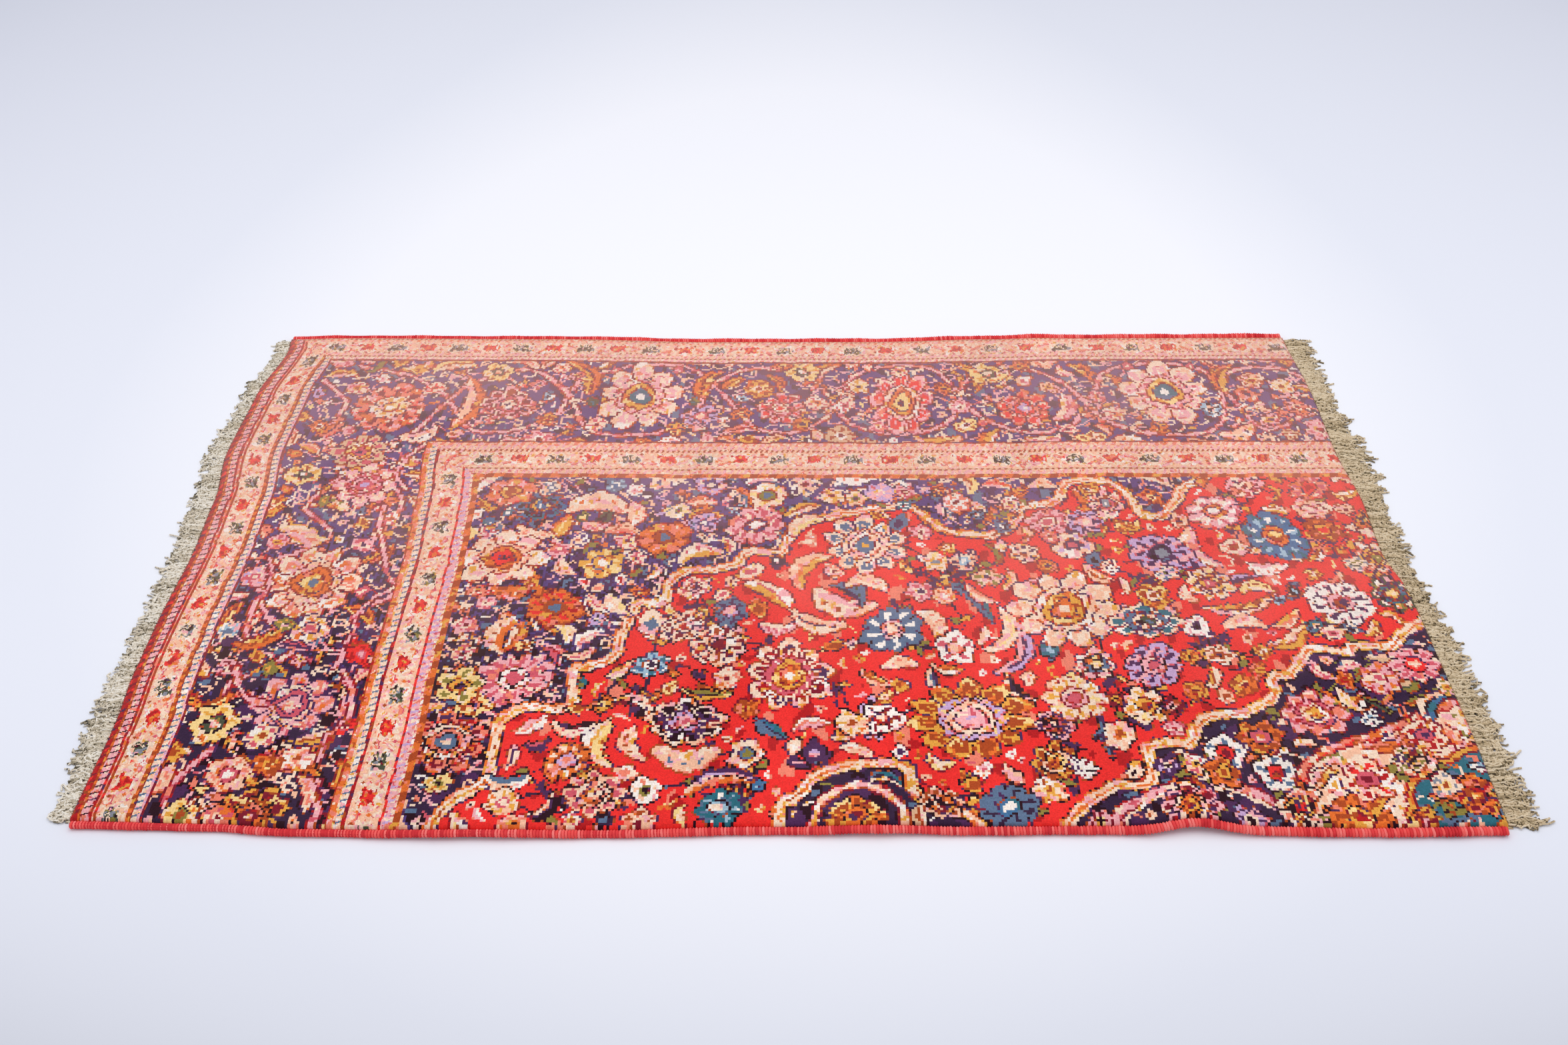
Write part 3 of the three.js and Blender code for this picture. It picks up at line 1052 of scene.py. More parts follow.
LEAVES = table("""
x0 y0 x1 y1 wide bend yarns teeth edge
458 158 420 72 24 0.25 orange-gold-wine 6 wine
628 165 652 98 22 -0.25 orange-gold-wine 6 wine
280 232 280 108 26 0.18 orange-peach-wine 7 wine
1178 118 1145 82 16 0.2 orange-gold-wine 4 wine
1365 152 1388 82 22 -0.25 orange-gold-wine 6 wine
820 80 790 130 17 0.25 orange-peach-wine 5 wine
990 80 1010 150 18 -0.22 orange-gold-wine 5 wine
705 240 655 248 14 0.2 coral-pink-wine 0 wine
135 98 150 72 12 0.2 olive-green-ink
100 418 168 462 22 0.3 ivory-gold-wine 5
250 710 262 672 15 0.2 ivory-peach-rose
230 805 246 850 17 0.2 coral-orange-wine
240 390 205 420 18 0.25 orange-coral-wine 4
95 250 118 205 17 0.25 coral-orange-wine 4 wine
100 900 120 880 13 0.2 ivory-gold-rust
80 640 92 580 15 -0.2 orange-gold-wine 4 wine
215 505 250 470 16 0.2 orange-gold-wine 4 wine
215 590 252 620 16 -0.2 orange-gold-wine 4 wine
345 385 372 405 15 0.2 orange-gold-rust
445 452 462 418 17 0.25 gold-yellow-rust
432 512 448 560 20 0.2 orange-gold-rust 4
662 420 640 388 15 -0.25 orange-gold-rust 3
505 560 560 590 18 0.25 ivory-peach-rose 4
405 598 412 668 20 -0.3 orange-ivory-rust 5
465 650 478 690 15 -0.25 pink-rose-wine
488 668 522 652 13 0.3 ivory-peach-rose
1000 405 1026 432 16 0.2 orange-gold-rust
575 758 588 735 14 0.25 navy-ink-steel
555 768 560 838 26 0.3 ivory-yellow-gold 5
648 712 690 722 9 0.2 rust-orange-ink
800 790 832 762 18 0.25 ivory-gold-rust
750 828 800 812 18 0.15 plum-navy-lilac 4
950 840 952 875 14 0.1 gold-rust-ink
925 572 948 550 12 0.2 orange-gold-rust
1120 640 1065 632 18 0.3 sky-orange-navy
1225 715 1235 682 15 0.25 ivory-gold-rust
1178 452 1190 425 12 0.2 gold-orange-rust
1378 552 1426 520 18 0.25 peach-coral-wine
1395 500 1410 470 15 0.25 ivory-gold-rust
1430 662 1455 676 14 0.2 pink-rose-wine
1372 742 1398 722 17 0.25 ivory-gold-rust
1405 705 1430 690 15 0.2 olive-orange-green
1445 740 1470 720 15 0.2 orange-olive-rust
1420 755 1395 735 13 0.2 olive-green-ink
1410 822 1436 806 13 0.2 olive-green-ink
1480 500 1490 470 14 0.2 gold-yellow-rust
1003 588 970 660 22 -0.36 ivory-peach-yellow
1024 622 984 697 20 -0.25 lilac-pink-plum
1263 440 1288 512 26 0.36 ivory-pink-peach
1243 470 1332 528 17 0.34 plum-lilac-plum
1248 586 1338 562 17 0.17 ivory-gold-wine 6
1325 440 1342 416 15 0.2 ivory-gold-rust
1370 540 1356 578 12 0.1 steel-plum-ink
1130 412 1118 362 22 0.2 coral-orange-gold 0 wine
945 545 992 618 16 -0.12 teal-steel-ink
968 548 1003 580 15 0.15 ivory-coral-peach
835 688 870 714 14 0.15 peach-gold-rust
985 832 1008 853 12 0.15 ivory-peach-rust
940 840 955 872 13 0.1 gold-olive-rust
820 652 790 662 15 0.2 gold-orange-rust
915 690 926 722 14 0.15 ivory-plum-steel
915 683 955 690 13 0.1 ivory-gold-rust
1001 698 1033 737 14 0.2 ivory-ink-navy
1088 795 1097 758 12 0.2 navy-steel-ink
1102 818 1092 790 11 0.2 navy-steel-ink
1010 508 996 470 12 0.2 rust-olive-gold
540 702 572 676 14 0.1 ivory-gold-peach
632 722 690 726 14 0.12 gold-olive-ink
716 766 753 792 17 0.1 steel-blue-navy
640 876 726 864 20 -0.25 ivory-orange-peach
650 855 722 855 10 -0.2 plum-lilac-plum
478 905 500 868 14 0.3 ink-ivory-plum
462 806 490 795 12 0.2 plum-rose-ink
452 346 483 380 11 0.1 plum-wine-plum 0 pink
440 462 463 414 22 0.15 gold-orange-yellow 0 wine
530 562 562 602 18 0.12 ivory-yellow-peach 0 plum
98 652 152 626 20 0.15 orange-gold-rust 4 wine
150 650 190 662 15 -0.15 wine-plum-rose 0 pink
102 446 150 490 26 -0.2 peach-pink-coral 0 gold
84 748 118 728 15 0.2 orange-rust-gold 0 wine
240 640 266 690 16 0.15 red-crimson-rust 0 wine
205 800 250 780 15 0.15 gold-ivory-rust 0 plum
225 850 238 905 14 -0.2 ivory-peach-coral 0 wine
1372 716 1392 752 13 0.12 ivory-peach-gold
1416 668 1452 668 11 0.05 sand-ivory-pink 0 plum
1440 714 1465 700 14 0.2 olive-sand-green
1420 738 1432 700 11 0.1 orange-gold-rust
1462 766 1492 728 20 -0.25 ivory-blue-navy
1375 800 1438 760 15 0.3 orange-coral-rust 0 wine
""", teeth=0, edge=Yarn.INK)

BUDS = table("""
x y size turn yarns edge
75 150 24 0 lilac-plum-olive
470 172 22 -30 green-teal-ivory
612 172 20 30 green-teal-ivory
405 160 18 -20 sky-navy-ivory
680 165 18 20 sky-navy-ivory
140 390 24 180 olive-gold-ivory
150 690 24 0 olive-gold-ivory
75 290 22 -90 orange-gold-wine
85 365 18 -60 orange-gold-wine
363 428 18 0 blue-sky-ivory
386 412 16 40 blue-white-ivory
483 420 24 0 green-gold-ivory
513 418 22 20 green-gold-ivory
860 420 18 150 gold-rust-wine
825 648 18 30 ivory-plum-green
1045 788 24 0 navy-steel-gold
950 858 26 0 gold-rust-olive
648 700 18 120 plum-navy-ivory
620 697 14 90 orange-gold-ivory
515 712 14 0 teal-green-gold
515 752 20 90 gold-rust-ivory
515 880 24 0 ink-plum-ivory
560 905 24 40 navy-steel-ivory
1362 560 20 180 navy-sky-ivory
1340 575 16 200 sky-navy-ivory
975 398 18 90 steel-navy-ivory
1290 350 20 180 orange-gold-ivory
330 215 20 0 coral-rose-green
1015 220 20 0 coral-rose-green
860 90 20 180 coral-ivory-green
585 95 20 0 rose-ivory-green
495 95 20 0 rose-ivory-green
1235 85 20 0 rose-ivory-green
1325 85 20 0 rose-ivory-green
230 560 22 90 rose-ivory-green
90 520 22 -90 coral-ivory-green
587 612 46 0 ivory-steel-ivory wine
606 592 18 0 yellow-gold-ivory wine
735 508 24 180 navy-white-ink
890 430 32 10 steel-plum-lilac wine
1055 656 30 5 teal-sky-steel
1128 500 28 0 steel-navy-sky
873 811 20 0 white-ink-lilac
1125 838 24 10 ivory-ink-navy
780 812 34 0 plum-lilac-navy
757 808 24 200 ivory-white-peach
945 631 18 0 navy-plum-ivory
1015 476 20 0 ivory-yellow-gold
488 366 18 90 navy-steel-ivory plum
513 420 24 20 green-navy-ivory wine
500 545 22 180 ivory-crimson-pink plum
545 540 22 160 ivory-crimson-pink plum
568 555 18 30 orange-gold-coral plum
""", edge=Yarn.INK)

# Cloud leaves: crescents with a scalloped back, and size is half their length
CLOUDS = table("""
x y size turn yarns edge
500 391 44 0 ivory-peach-orange wine
552 416 25 90 ivory-peach-coral wine
432 420 24 -40 steel-navy-ivory
422 456 25 200 ivory-peach-coral wine
540 444 24 10 peach-coral-rust wine
500 440 20 180 pink-ivory-rose wine
460 480 19 90 ivory-pink-rose wine
410 563 27 180 coral-orange-rust wine
405 634 32 -80 ivory-orange-rust
488 628 20 60 ivory-yellow-gold plum
635 388 20 0 coral-peach-rust wine
586 400 20 90 lilac-plum-wine plum
765 432 26 -40 ivory-yellow-peach wine
970 398 28 0 coral-ivory-rose plum
993 402 18 80 ivory-peach-gold plum
943 404 14 -80 pink-ivory-rose plum
1020 353 20 0 coral-ivory-red plum
806 374 24 0 pink-ivory-gold plum
829 384 16 90 ivory-gold-gold plum
896 358 22 0 ivory-pink-rose plum
1080 353 20 0 peach-ivory-coral plum
812 586 42 200 ivory-pink-rust wine
829 558 26 45 steel-navy-green
845 540 26 10 peach-ivory-pink wine
858 420 18 -30 ivory-gold-gold wine
1045 552 24 -60 pink-ivory-rose
1165 598 20 60 ivory-gold-yellow
1178 614 18 90 ivory-green-ink
1258 540 22 195 ivory-yellow-orange
1290 609 26 0 peach-ivory-coral plum
1197 606 24 -80 ivory-peach-orange wine
1337 482 14 120 peach-ivory-gold
1374 404 16 10 ivory-gold-rust
1376 499 14 190 ivory-peach-gold
1441 405 14 90 ivory-pink-peach wine
1453 455 25 -80 ivory-peach-rust
582 744 26 40 ivory-ink-navy
512 784 24 180 ivory-ink-rose
640 826 37 180 peach-ivory-steel rust
450 861 26 180 ivory-steel-peach
152 392 26 10 ivory-gold-olive wine
150 692 22 0 gold-steel-ivory plum
1316 797 12 0 ivory-peach-gold
1478 785 20 60 peach-orange-coral wine
1393 682 16 -20 ivory-pink-rose plum
""", edge=Yarn.INK)

# Small beads in the guard bands: how far from the middle, their yarn, their spacing and their size
GUARD_BEADS = (
    (-11, Yarn.IVORY, 11.0, 3.6), (11, Yarn.ROSE, 12.5, 2.8), (-4, Yarn.RED, 21.0, 2.4),
    (5, Yarn.ORANGE, 17.0, 3.0), (12, Yarn.IVORY, 15.0, 4.0), (-11, Yarn.RUST, 27.0, 2.6),
)

# The deeper tones at the lower edges of light shapes
EDGE_TONES = table("""
yarn into
ivory coral-orange
white pink-peach
peach coral-rust
pink rose-coral
yellow gold-orange
gold rust-orange
coral red-crimson
orange rust-crimson
sky steel-blue
lilac rose-plum
""")

# How each yarn varies: patches of about span millimetres take another yarn over a share of the area
MOTTLES = table("""
yarn into span share
ivory peach 9 0.24
ivory white 15 0.14
ivory pink 11 0.12
ivory gold 8 0.05
peach pink 9 0.18
peach ivory 11 0.16
peach coral 7 0.08
pink ivory 8 0.18
pink coral 11 0.10
pink rose 7 0.08
coral pink 9 0.16
coral orange 12 0.16
coral ivory 7 0.10
orange coral 10 0.18
orange gold 13 0.18
orange rust 8 0.10
gold orange 10 0.18
gold yellow 12 0.20
gold rust 7 0.08
yellow ivory 9 0.2
navy ink 17 0.22
navy plum 21 0.20
navy steel 11 0.04
dusk plum 17 0.18
dusk steel 13 0.12
dusk navy 11 0.15
red coral 22 0.07
red crimson 16 0.08
crimson red 9 0.2
wine rust 11 0.22
wine plum 15 0.16
wine crimson 8 0.14
teal steel 9 0.22
sky steel 9 0.2
sky white 7 0.15
blue teal 9 0.25
lilac pink 9 0.3
green olive 9 0.22
green ink 7 0.15
ink plum 13 0.2
ink wine 9 0.12
""")

# The border's vines: thin ones over its motifs, and long ones under them
NEAR_VINES = [
    [(232, 300), (224, 335), (243, 365)],
    [(222, 400), (224, 440), (235, 470), (250, 520), (268, 550)],
    [(268, 552), (250, 570), (232, 598), (234, 625), (230, 650)],
    [(100, 500), (112, 545), (103, 590), (108, 640)],
    [(235, 690), (252, 720), (258, 760), (240, 800)],
    [(110, 690), (135, 735), (170, 750)],
]
BORDER_VINES = [
    [(75, 120), (120, 175), (110, 250), (150, 330), (120, 400), (165, 460), (100, 520), (120, 600),
     (170, 660), (110, 720), (120, 800), (90, 870), (110, 930)],
    [(250, 270), (215, 330), (245, 400), (220, 470), (270, 555), (230, 600), (235, 640), (225, 690)],
    [(240, 700), (250, 760), (240, 830), (255, 900), (250, 930)],
    [(120, 85), (200, 110), (260, 160), (300, 230), (360, 240), (420, 200), (450, 120), (520, 85), (600, 90),
     (650, 150), (700, 230), (760, 240), (810, 190), (840, 110), (900, 85), (960, 100), (1000, 190),
     (1060, 240), (1130, 230), (1170, 170), (1200, 100), (1270, 80), (1340, 95), (1370, 170), (1400, 235),
     (1470, 200)],
    [(230, 240), (290, 130), (370, 95), (430, 150), (470, 235), (540, 248), (600, 225), (640, 130), (700, 90),
     (780, 120), (830, 220), (900, 248), (970, 215), (1000, 120), (1060, 90), (1130, 120), (1190, 220),
     (1270, 248), (1340, 225), (1370, 110), (1440, 90), (1490, 120)],
]

# The yarns of small motifs: petal, petal mark, ring and heart
WARM_WOOLS = [read_word(word) for word in """
ivory-rose-coral-wine pink-rose-ivory-wine peach-coral-ivory-wine coral-wine-peach-ivory
peach-rust-gold-wine pink-wine-gold-ink orange-wine-gold-ink ivory-rust-peach-rust
sand-rust-ivory-wine gold-rust-ivory-rust
""".split()]
COOL_WOOLS = [read_word(word) for word in """
lilac-plum-pink-plum steel-navy-ivory-ink white-navy-sky-ink lilac-plum-ivory-ink
teal-navy-ivory-ink ivory-olive-gold-rust
""".split()]
LIGHT_WOOLS = [read_word(word) for word in """
ivory-coral-peach-wine ivory-rose-gold-rust peach-rust-ivory-wine pink-rose-ivory-wine
white-coral-pink-rose gold-rust-ivory-rust ivory-plum-peach-wine orange-rust-gold-wine
yellow-rust-ivory-wine peach-coral-gold-ink
""".split()]


class GuardRow(NamedTuple):
    """A row of blossoms in a guard band: its place, its first blossom, their spacing and how that grows."""

    band: tuple[float, float]
    left: bool
    first: float
    pitch: float
    growth: float


GUARD_ROWS = (
    GuardRow(OUTER_GUARD, True, 75, 46.1, 0.0), GuardRow(OUTER_GUARD, False, 73, 45.2, 0.38),
    GuardRow(INNER_GUARD, True, 345, 47.7, 0.0), GuardRow(INNER_GUARD, False, 343, 49.0, 0.1),
)


class Design:
    """The rug's quarter of a medallion carpet: borders, spandrel, field, pendant and medallion."""

    # How far a ground goes under the lines beside it
    OVERLAP = 4
    # Half the length of a guard blossom's window, how far its stem swings, and where the left bands end
    GUARD_REACH, GUARD_SWING, LEFT_BAND_END = 26, 9, 925

    def __init__(self) -> None:
        """Starts empty charts: a fine one for the narrow bands, and one of blocks for all the rest."""
        self.fine, self.chart = KnotChart(1), KnotChart(KNOTS_PER_BLOCK)
        self.fine_zones, self.zones = Zones(self.fine), Zones(self.chart)
        self.weaver = Weaver(self.chart)
        self.draw = np.random.default_rng(8)
        self.border = self.zones.within(MAIN_BORDER[0] - self.OVERLAP, MAIN_BORDER[1] + self.OVERLAP)
        self.inner = self.zones.depth > FIELD_START - self.OVERLAP

    def grounds(self) -> None:
        """Lays the grounds of border, spandrel, field, pendant and medallion."""
        weaver = self.weaver
        self.spandrel = weaver.inside([*SPANDREL_EDGE, (300, 960), (300, 300), (1300, 300)]) & self.inner
        self.medallion = weaver.inside([*MEDALLION_EDGE, (1035, 960), (1600, 960)])
        self.pendant = weaver.inside([*PENDANT_EDGE, (960, 960), (740, 960)])
        self.field = self.inner & ~self.spandrel & ~self.medallion & ~self.pendant
        weaver.ground(self.field, Yarn.RED)
        for mask in (~self.inner, self.spandrel, self.medallion, self.pendant):
            weaver.ground(mask, Yarn.NAVY)
        weaver.ground(weaver.inside([*MEDALLION_LOBE, (1600, 960), (1275, 960)]), Yarn.IVORY)
        weaver.ground(weaver.inside([*MEDALLION_HEART, (1600, 960), (1395, 960)]), Yarn.TEAL)
        # The dark grounds towards the far edge turn to the paler dusk, in patches
        paled = self.chart.mood + (DUSK_DEPTH - self.chart.y) / DUSK_SPREAD > 0
        weaver.ground(paled & (self.spandrel | ~self.inner), Yarn.DUSK)

    def bands(self) -> None:
        """Draws the border's plain lines, barber poles and guard grounds on the fine chart."""
        zones, yarns = self.fine_zones, self.fine.yarns
        for at_side, rows in ((zones.at_left, LEFT_BANDS), (~zones.at_left, FAR_BANDS)):
            for row in rows:
                start = row["start"]
                mask = at_side & (zones.depth < row["end"])
                if start > 0:
                    mask &= zones.depth >= start
                yarns[mask] = row["yarn"]
                bars = ((zones.run + (zones.depth - start) * BAR_SLANT) / row["pitch"]) % 1 < row["share"]
                yarns[mask & bars] = row["marks"]

    def guard(self, row: GuardRow) -> None:
        """Draws one guard band's blossoms on their waving stem, green and red in turn.

        Args:
            row: Where the blossoms stand.
        """
        zones, yarns = self.fine_zones, self.fine.yarns
        middle = sum(row.band) / 2
        inside = (zones.at_left == row.left) & zones.within(*row.band)
        swing = middle + self.GUARD_SWING * np.sin((zones.run - row.first) * math.pi / row.pitch)
        yarns[inside & (np.abs(zones.depth - swing) < 2.0)] = Yarn.CORAL
        yarns[inside & (np.abs(zones.depth - swing - 3.2) < 0.8)] = Yarn.ROSE
        for offset, yarn, span, size in GUARD_BEADS:
            near = np.abs(zones.depth - middle - offset)
            beads = np.abs((zones.run / span) % 1 - 0.5) * span
            yarns[inside & (near + beads < size)] = yarn
        place, count = row.first, 0
        while place < (self.LEFT_BAND_END if row.left else PILE_LENGTH):
            self.guard_blossom(place, middle, row.left, count % 2 == 1)
            place += row.pitch + row.growth * count
            count += 1

    def guard_blossom(self, place: float, middle: float, left: bool, red: bool) -> None:
        """Draws a three-tined blossom of a guard band, red and green ones facing opposite ways.

        Args:
            place: Where it is along the band.
            middle: How far in the band's middle is.
            left: True for a band along the left end.
            red: True for a red blossom.
        """
        start = place - (SELVEDGE_WIDTH if left else 0) - self.GUARD_REACH
        step = self.fine.row if left else self.fine.column
        along = slice(max(0, int(start / step)), max(0, int((start + 2 * self.GUARD_REACH) / step)))
        side = slice(0, int((middle + 40) / self.fine.column))
        window = (along, side) if left else (side, along)
        zones = self.fine_zones
        yarns, mood = self.fine.yarns[window], self.fine.mood[window]
        up = (zones.depth[window] - middle) * (1 if red else -1)
        mask = (zones.at_left[window] == left) & (np.abs(up) < 15)
        across = zones.run[window] - place + 3.2 * mood
        up = up + 1.8 * np.roll(mood, 3, 0)
        yarns[mask & (np.hypot(across / 18, up / 13) < 1)] = Yarn.IVORY
        yarns[mask & (np.hypot((np.abs(across) - 14) / 4.2, (up + 5) / 5) < 1)] = Yarn.IVORY
        shape = (np.abs(across) < 10) & (np.abs(up + 4.5) < 2.6)
        for tine in (-8, 0, 8):
            beside = np.abs(across - tine + 0.15 * tine * up / 8)
            shape |= (beside < 2.4) & (np.abs(up + abs(tine) * 0.12) < 8)
        if red:
            shape |= np.hypot(across / 9, (up + 0.5) / 6) < 1
        shape &= mask
        yarns[shape] = Yarn.RED if red else Yarn.GREEN
        yarns[shape & (mood > (0.3 if red else 0.9))] = Yarn.CRIMSON if red else Yarn.INK
        yarns[shape & (mood < -0.5)] = Yarn.ORANGE if red else Yarn.GREY

    def outlines(self) -> None:
        """Draws the scalloped lines that part field, spandrel, pendant and medallion."""
        stroke = self.weaver.stroke
        for points in (SPANDREL_EDGE, MEDALLION_EDGE, PENDANT_EDGE):
            stroke(points, 13, Yarn.GOLD, Yarn.INK)
            stroke([(x - 2.5, y - 2.5) for x, y in points], 5, Yarn.IVORY, Yarn.ORANGE)
            stroke([(x + 3, y + 3) for x, y in points], 4, Yarn.IVORY)
        stroke(MEDALLION_LOBE, 8, Yarn.CORAL, Yarn.WINE)
        stroke(MEDALLION_HEART, 6, Yarn.GOLD, Yarn.WINE)
        stroke(PENDANT_DOME, 8, Yarn.IVORY, Yarn.WINE)
        stroke([(1095, 925), (1100, 895), (1140, 870), (1190, 855), (1240, 865), (1290, 905)], 9, Yarn.PINK,
               Yarn.WINE)
        stroke([(1100, 925), (1108, 900), (1145, 876), (1190, 862), (1236, 872), (1280, 910)], 4, Yarn.IVORY)

    def rows_in(self, rows: Sequence[dict], region: np.ndarray) -> list[dict]:
        """Picks the rows of a table whose middle, or for a leaf whose tip, lies in a region."""
        x, y = ("x", "y") if "x" in rows[0] else ("x1", "y1")
        return [row for row in rows if region[self.chart.at(row[x], row[y])]]

    def stems(self, region: np.ndarray, yarn: Yarn, leaf_yarns: Sequence[Yarn], longest: float) -> None:
        """Joins each palmette and flower of a region to the two nearest by thin leafy stems.

        Args:
            region: The mask where stems may run.
            yarn: The stems' yarn.
            leaf_yarns: The yarns of their small leaves.
            longest: The longest stem that is drawn.
        """
        places = [(row["x"], row["y"]) for row in self.rows_in([*PALMETTES, *FLOWERS], region)]
        with self.chart.only_in(region):
            for index, place in enumerate(places):
                others = places[:index] + places[index + 1:]
                for other in sorted(others, key=lambda far: math.dist(far, place))[:2]:
                    if math.dist(other, place) <= longest:
                        self.stem(place, other, yarn, leaf_yarns)

    def stem(self, place: tuple[float, float], other: tuple[float, float], yarn: Yarn,
             leaf_yarns: Sequence[Yarn]) -> None:
        """Draws one bent stem with a leaf at each side of its middle.

        Args:
            place: Where it starts.
            other: Where it ends.
            yarn: Its yarn.
            leaf_yarns: The yarns to choose from for its leaves.
        """
        (x, y), (other_x, other_y) = place, other
        bend = self.draw.choice([-1, 1]) * self.draw.uniform(0.12, 0.3)
        middle = ((x + other_x) / 2 + (other_y - y) * bend, (y + other_y) / 2 - (other_x - x) * bend)
        self.weaver.stroke([place, middle, other], 3.2, yarn)
        for side in (-1, 1):
            turn = math.atan2(other_y - y, other_x - x) + side * 0.9
            tip = middle[0] + 15 * math.cos(turn), middle[1] + 15 * math.sin(turn)
            wool = leaf_yarns[self.draw.choice(len(leaf_yarns))]
            self.weaver.leaf(*middle, *tip, 8, 0.2 * side, (wool, wool, wool))

    def motifs(self, region: np.ndarray) -> None:
        """Draws every motif of the tables that lies in a region, the flowers on top.

        Args:
            region: The mask of the region.
        """
        weaver = self.weaver
        with self.chart.only_in(region):
            for draw_motif, rows in ((weaver.leaf, LEAVES), (weaver.cloud, CLOUDS), (weaver.bud, BUDS),
                                     (weaver.palmette, PALMETTES)):
                for row in self.rows_in(rows, region):
                    draw_motif(**row)
            for row in self.rows_in(FLOWERS, region):
                weaver.flower(**row, turn=self.draw.uniform(0, 90))

    def bare_places(self, region: np.ndarray, tries: int) -> list[tuple[float, float]]:
        """Draws lots for places on a region's bare ground.

        Args:
            region: The mask of the region.
            tries: How many lots are drawn.

        Returns:
            The places that are bare.
        """
        rows, columns = np.nonzero(region)
        chosen = self.draw.integers(0, len(rows), tries)
        blocks = rows[chosen], columns[chosen]
        bare = self.chart.bare[blocks]
        return list(zip(self.chart.x[blocks][bare].tolist(), self.chart.y[blocks][bare].tolist()))

    def curls(self, region: np.ndarray, tries: int, wools: Sequence[Yarn]) -> None:
        """Draws curling tendrils on bare ground.

        Args:
            region: The mask where they start.
            tries: How many places are tried.
            wools: Yarns to choose from.
        """
        draw = self.draw
        for x, y in self.bare_places(region, tries):
            turn, reach, sweep = draw.uniform(0, FULL_TURN), draw.uniform(7, 17), draw.uniform(1.8, 3.8)
            wool = wools[int(draw.integers(0, len(wools)))]
            angles, radii = turn + np.linspace(0, sweep, 6), reach * np.linspace(1, 0.55, 6)
            arc = [(x + radius * math.cos(angle), y + radius * math.sin(angle))
                   for angle, radius in zip(angles, radii)]
            self.weaver.stroke(arc, 3.4, wool, bare_only=True)

    def sprigs(self, region: np.ndarray, tries: int, sizes: Sequence[float],
               wools: Sequence[tuple[Yarn, ...]], edge: Yarn | None) -> None:
        """Fills bare ground with small leaves, blossoms and buds, the larger ones first.

        Args:
            region: The mask that is filled.
            tries: How many places are tried for each size.
            sizes: The motifs' radii.
            wools: Blossom yarns to choose from.
            edge: The outline's yarn.
        """
        draw, weaver = self.draw, self.weaver
        weaver.careful = True
        for size in sizes:
            for x, y in self.bare_places(region, tries):
                turn, bend = draw.uniform(0, FULL_TURN), draw.choice([-1, 1]) * draw.uniform(0.1, 0.35)
                wool = wools[draw.choice(len(wools))]
                petal, mark, ring, _ = wool
                kind = draw.random()
                if kind < 0.4:
                    dx, dy = 1.5 * size * math.cos(turn), 1.5 * size * math.sin(turn)
                    weaver.leaf(x - dx, y - dy, x + dx, y + dy, size * 1.1, bend, (petal, ring, mark), edge)
                elif kind < 0.68:
                    weaver.flower(x, y, size, 6, wool, math.degrees(turn), edge)
                elif kind < 0.86:
                    weaver.cloud(x, y, size * 1.25, math.degrees(turn), (petal, ring, mark), edge)
                else:
                    weaver.bud(x, y, size * 2, math.degrees(turn), (petal, mark, ring), edge)
        weaver.careful = False

    def soften_outlines(self) -> None:
        """Turns black outlines to plum and wine towards the far edge, where they look fainter."""
        yarns, mood = self.chart.yarns, self.chart.mood
        black = (yarns == Yarn.INK) & (self.chart.y + 90 * mood < SOFT_OUTLINE_DEPTH)
        yarns[black] = np.where(mood > 0, Yarn.WINE, Yarn.PLUM)[black]
        yarns[self.spandrel & (yarns == Yarn.PLUM) & (mood < 0.6)] = Yarn.DUSK

    def shade_edges(self) -> None:
        """Gives light shapes a deeper tone where they meet the dark below or to the right of them."""
        yarns, mood = self.chart.yarns, self.chart.mood
        before = yarns.copy()
        dark = np.isin(before, [Yarn.INK, Yarn.WINE, Yarn.NAVY, Yarn.PLUM, Yarn.GREEN, Yarn.RED, Yarn.RUST])
        for axis in (0, 1):
            after_dark = np.roll(dark, -1, axis)
            for row in EDGE_TONES:
                light = before == row["yarn"]
                deep = np.roll(light, 1, axis) & np.roll(light, 2, axis) & (mood > -0.2)
                chosen = light & after_dark & deep & ((mood > 0) if axis else True)
                yarns[chosen] = np.where(mood > 0, *row["into"])[chosen]

    @staticmethod
    def mottle(chart: KnotChart) -> None:
        """Swaps patches of each yarn for a near tone, as in wool that was dyed and clipped unevenly.

        Args:
            chart: The chart that is changed.
        """
        before = chart.yarns.copy()
        for index, row in enumerate(MOTTLES):
            span = row["span"] * chart.block
            patches = wave_noise(chart.x, chart.y, 40 + index, (span, span * 1.7))
            chosen = patches > np.quantile(patches[::7, ::7], 1 - row["share"])
            chart.yarns[(before == row["yarn"]) & chosen] = row["into"]

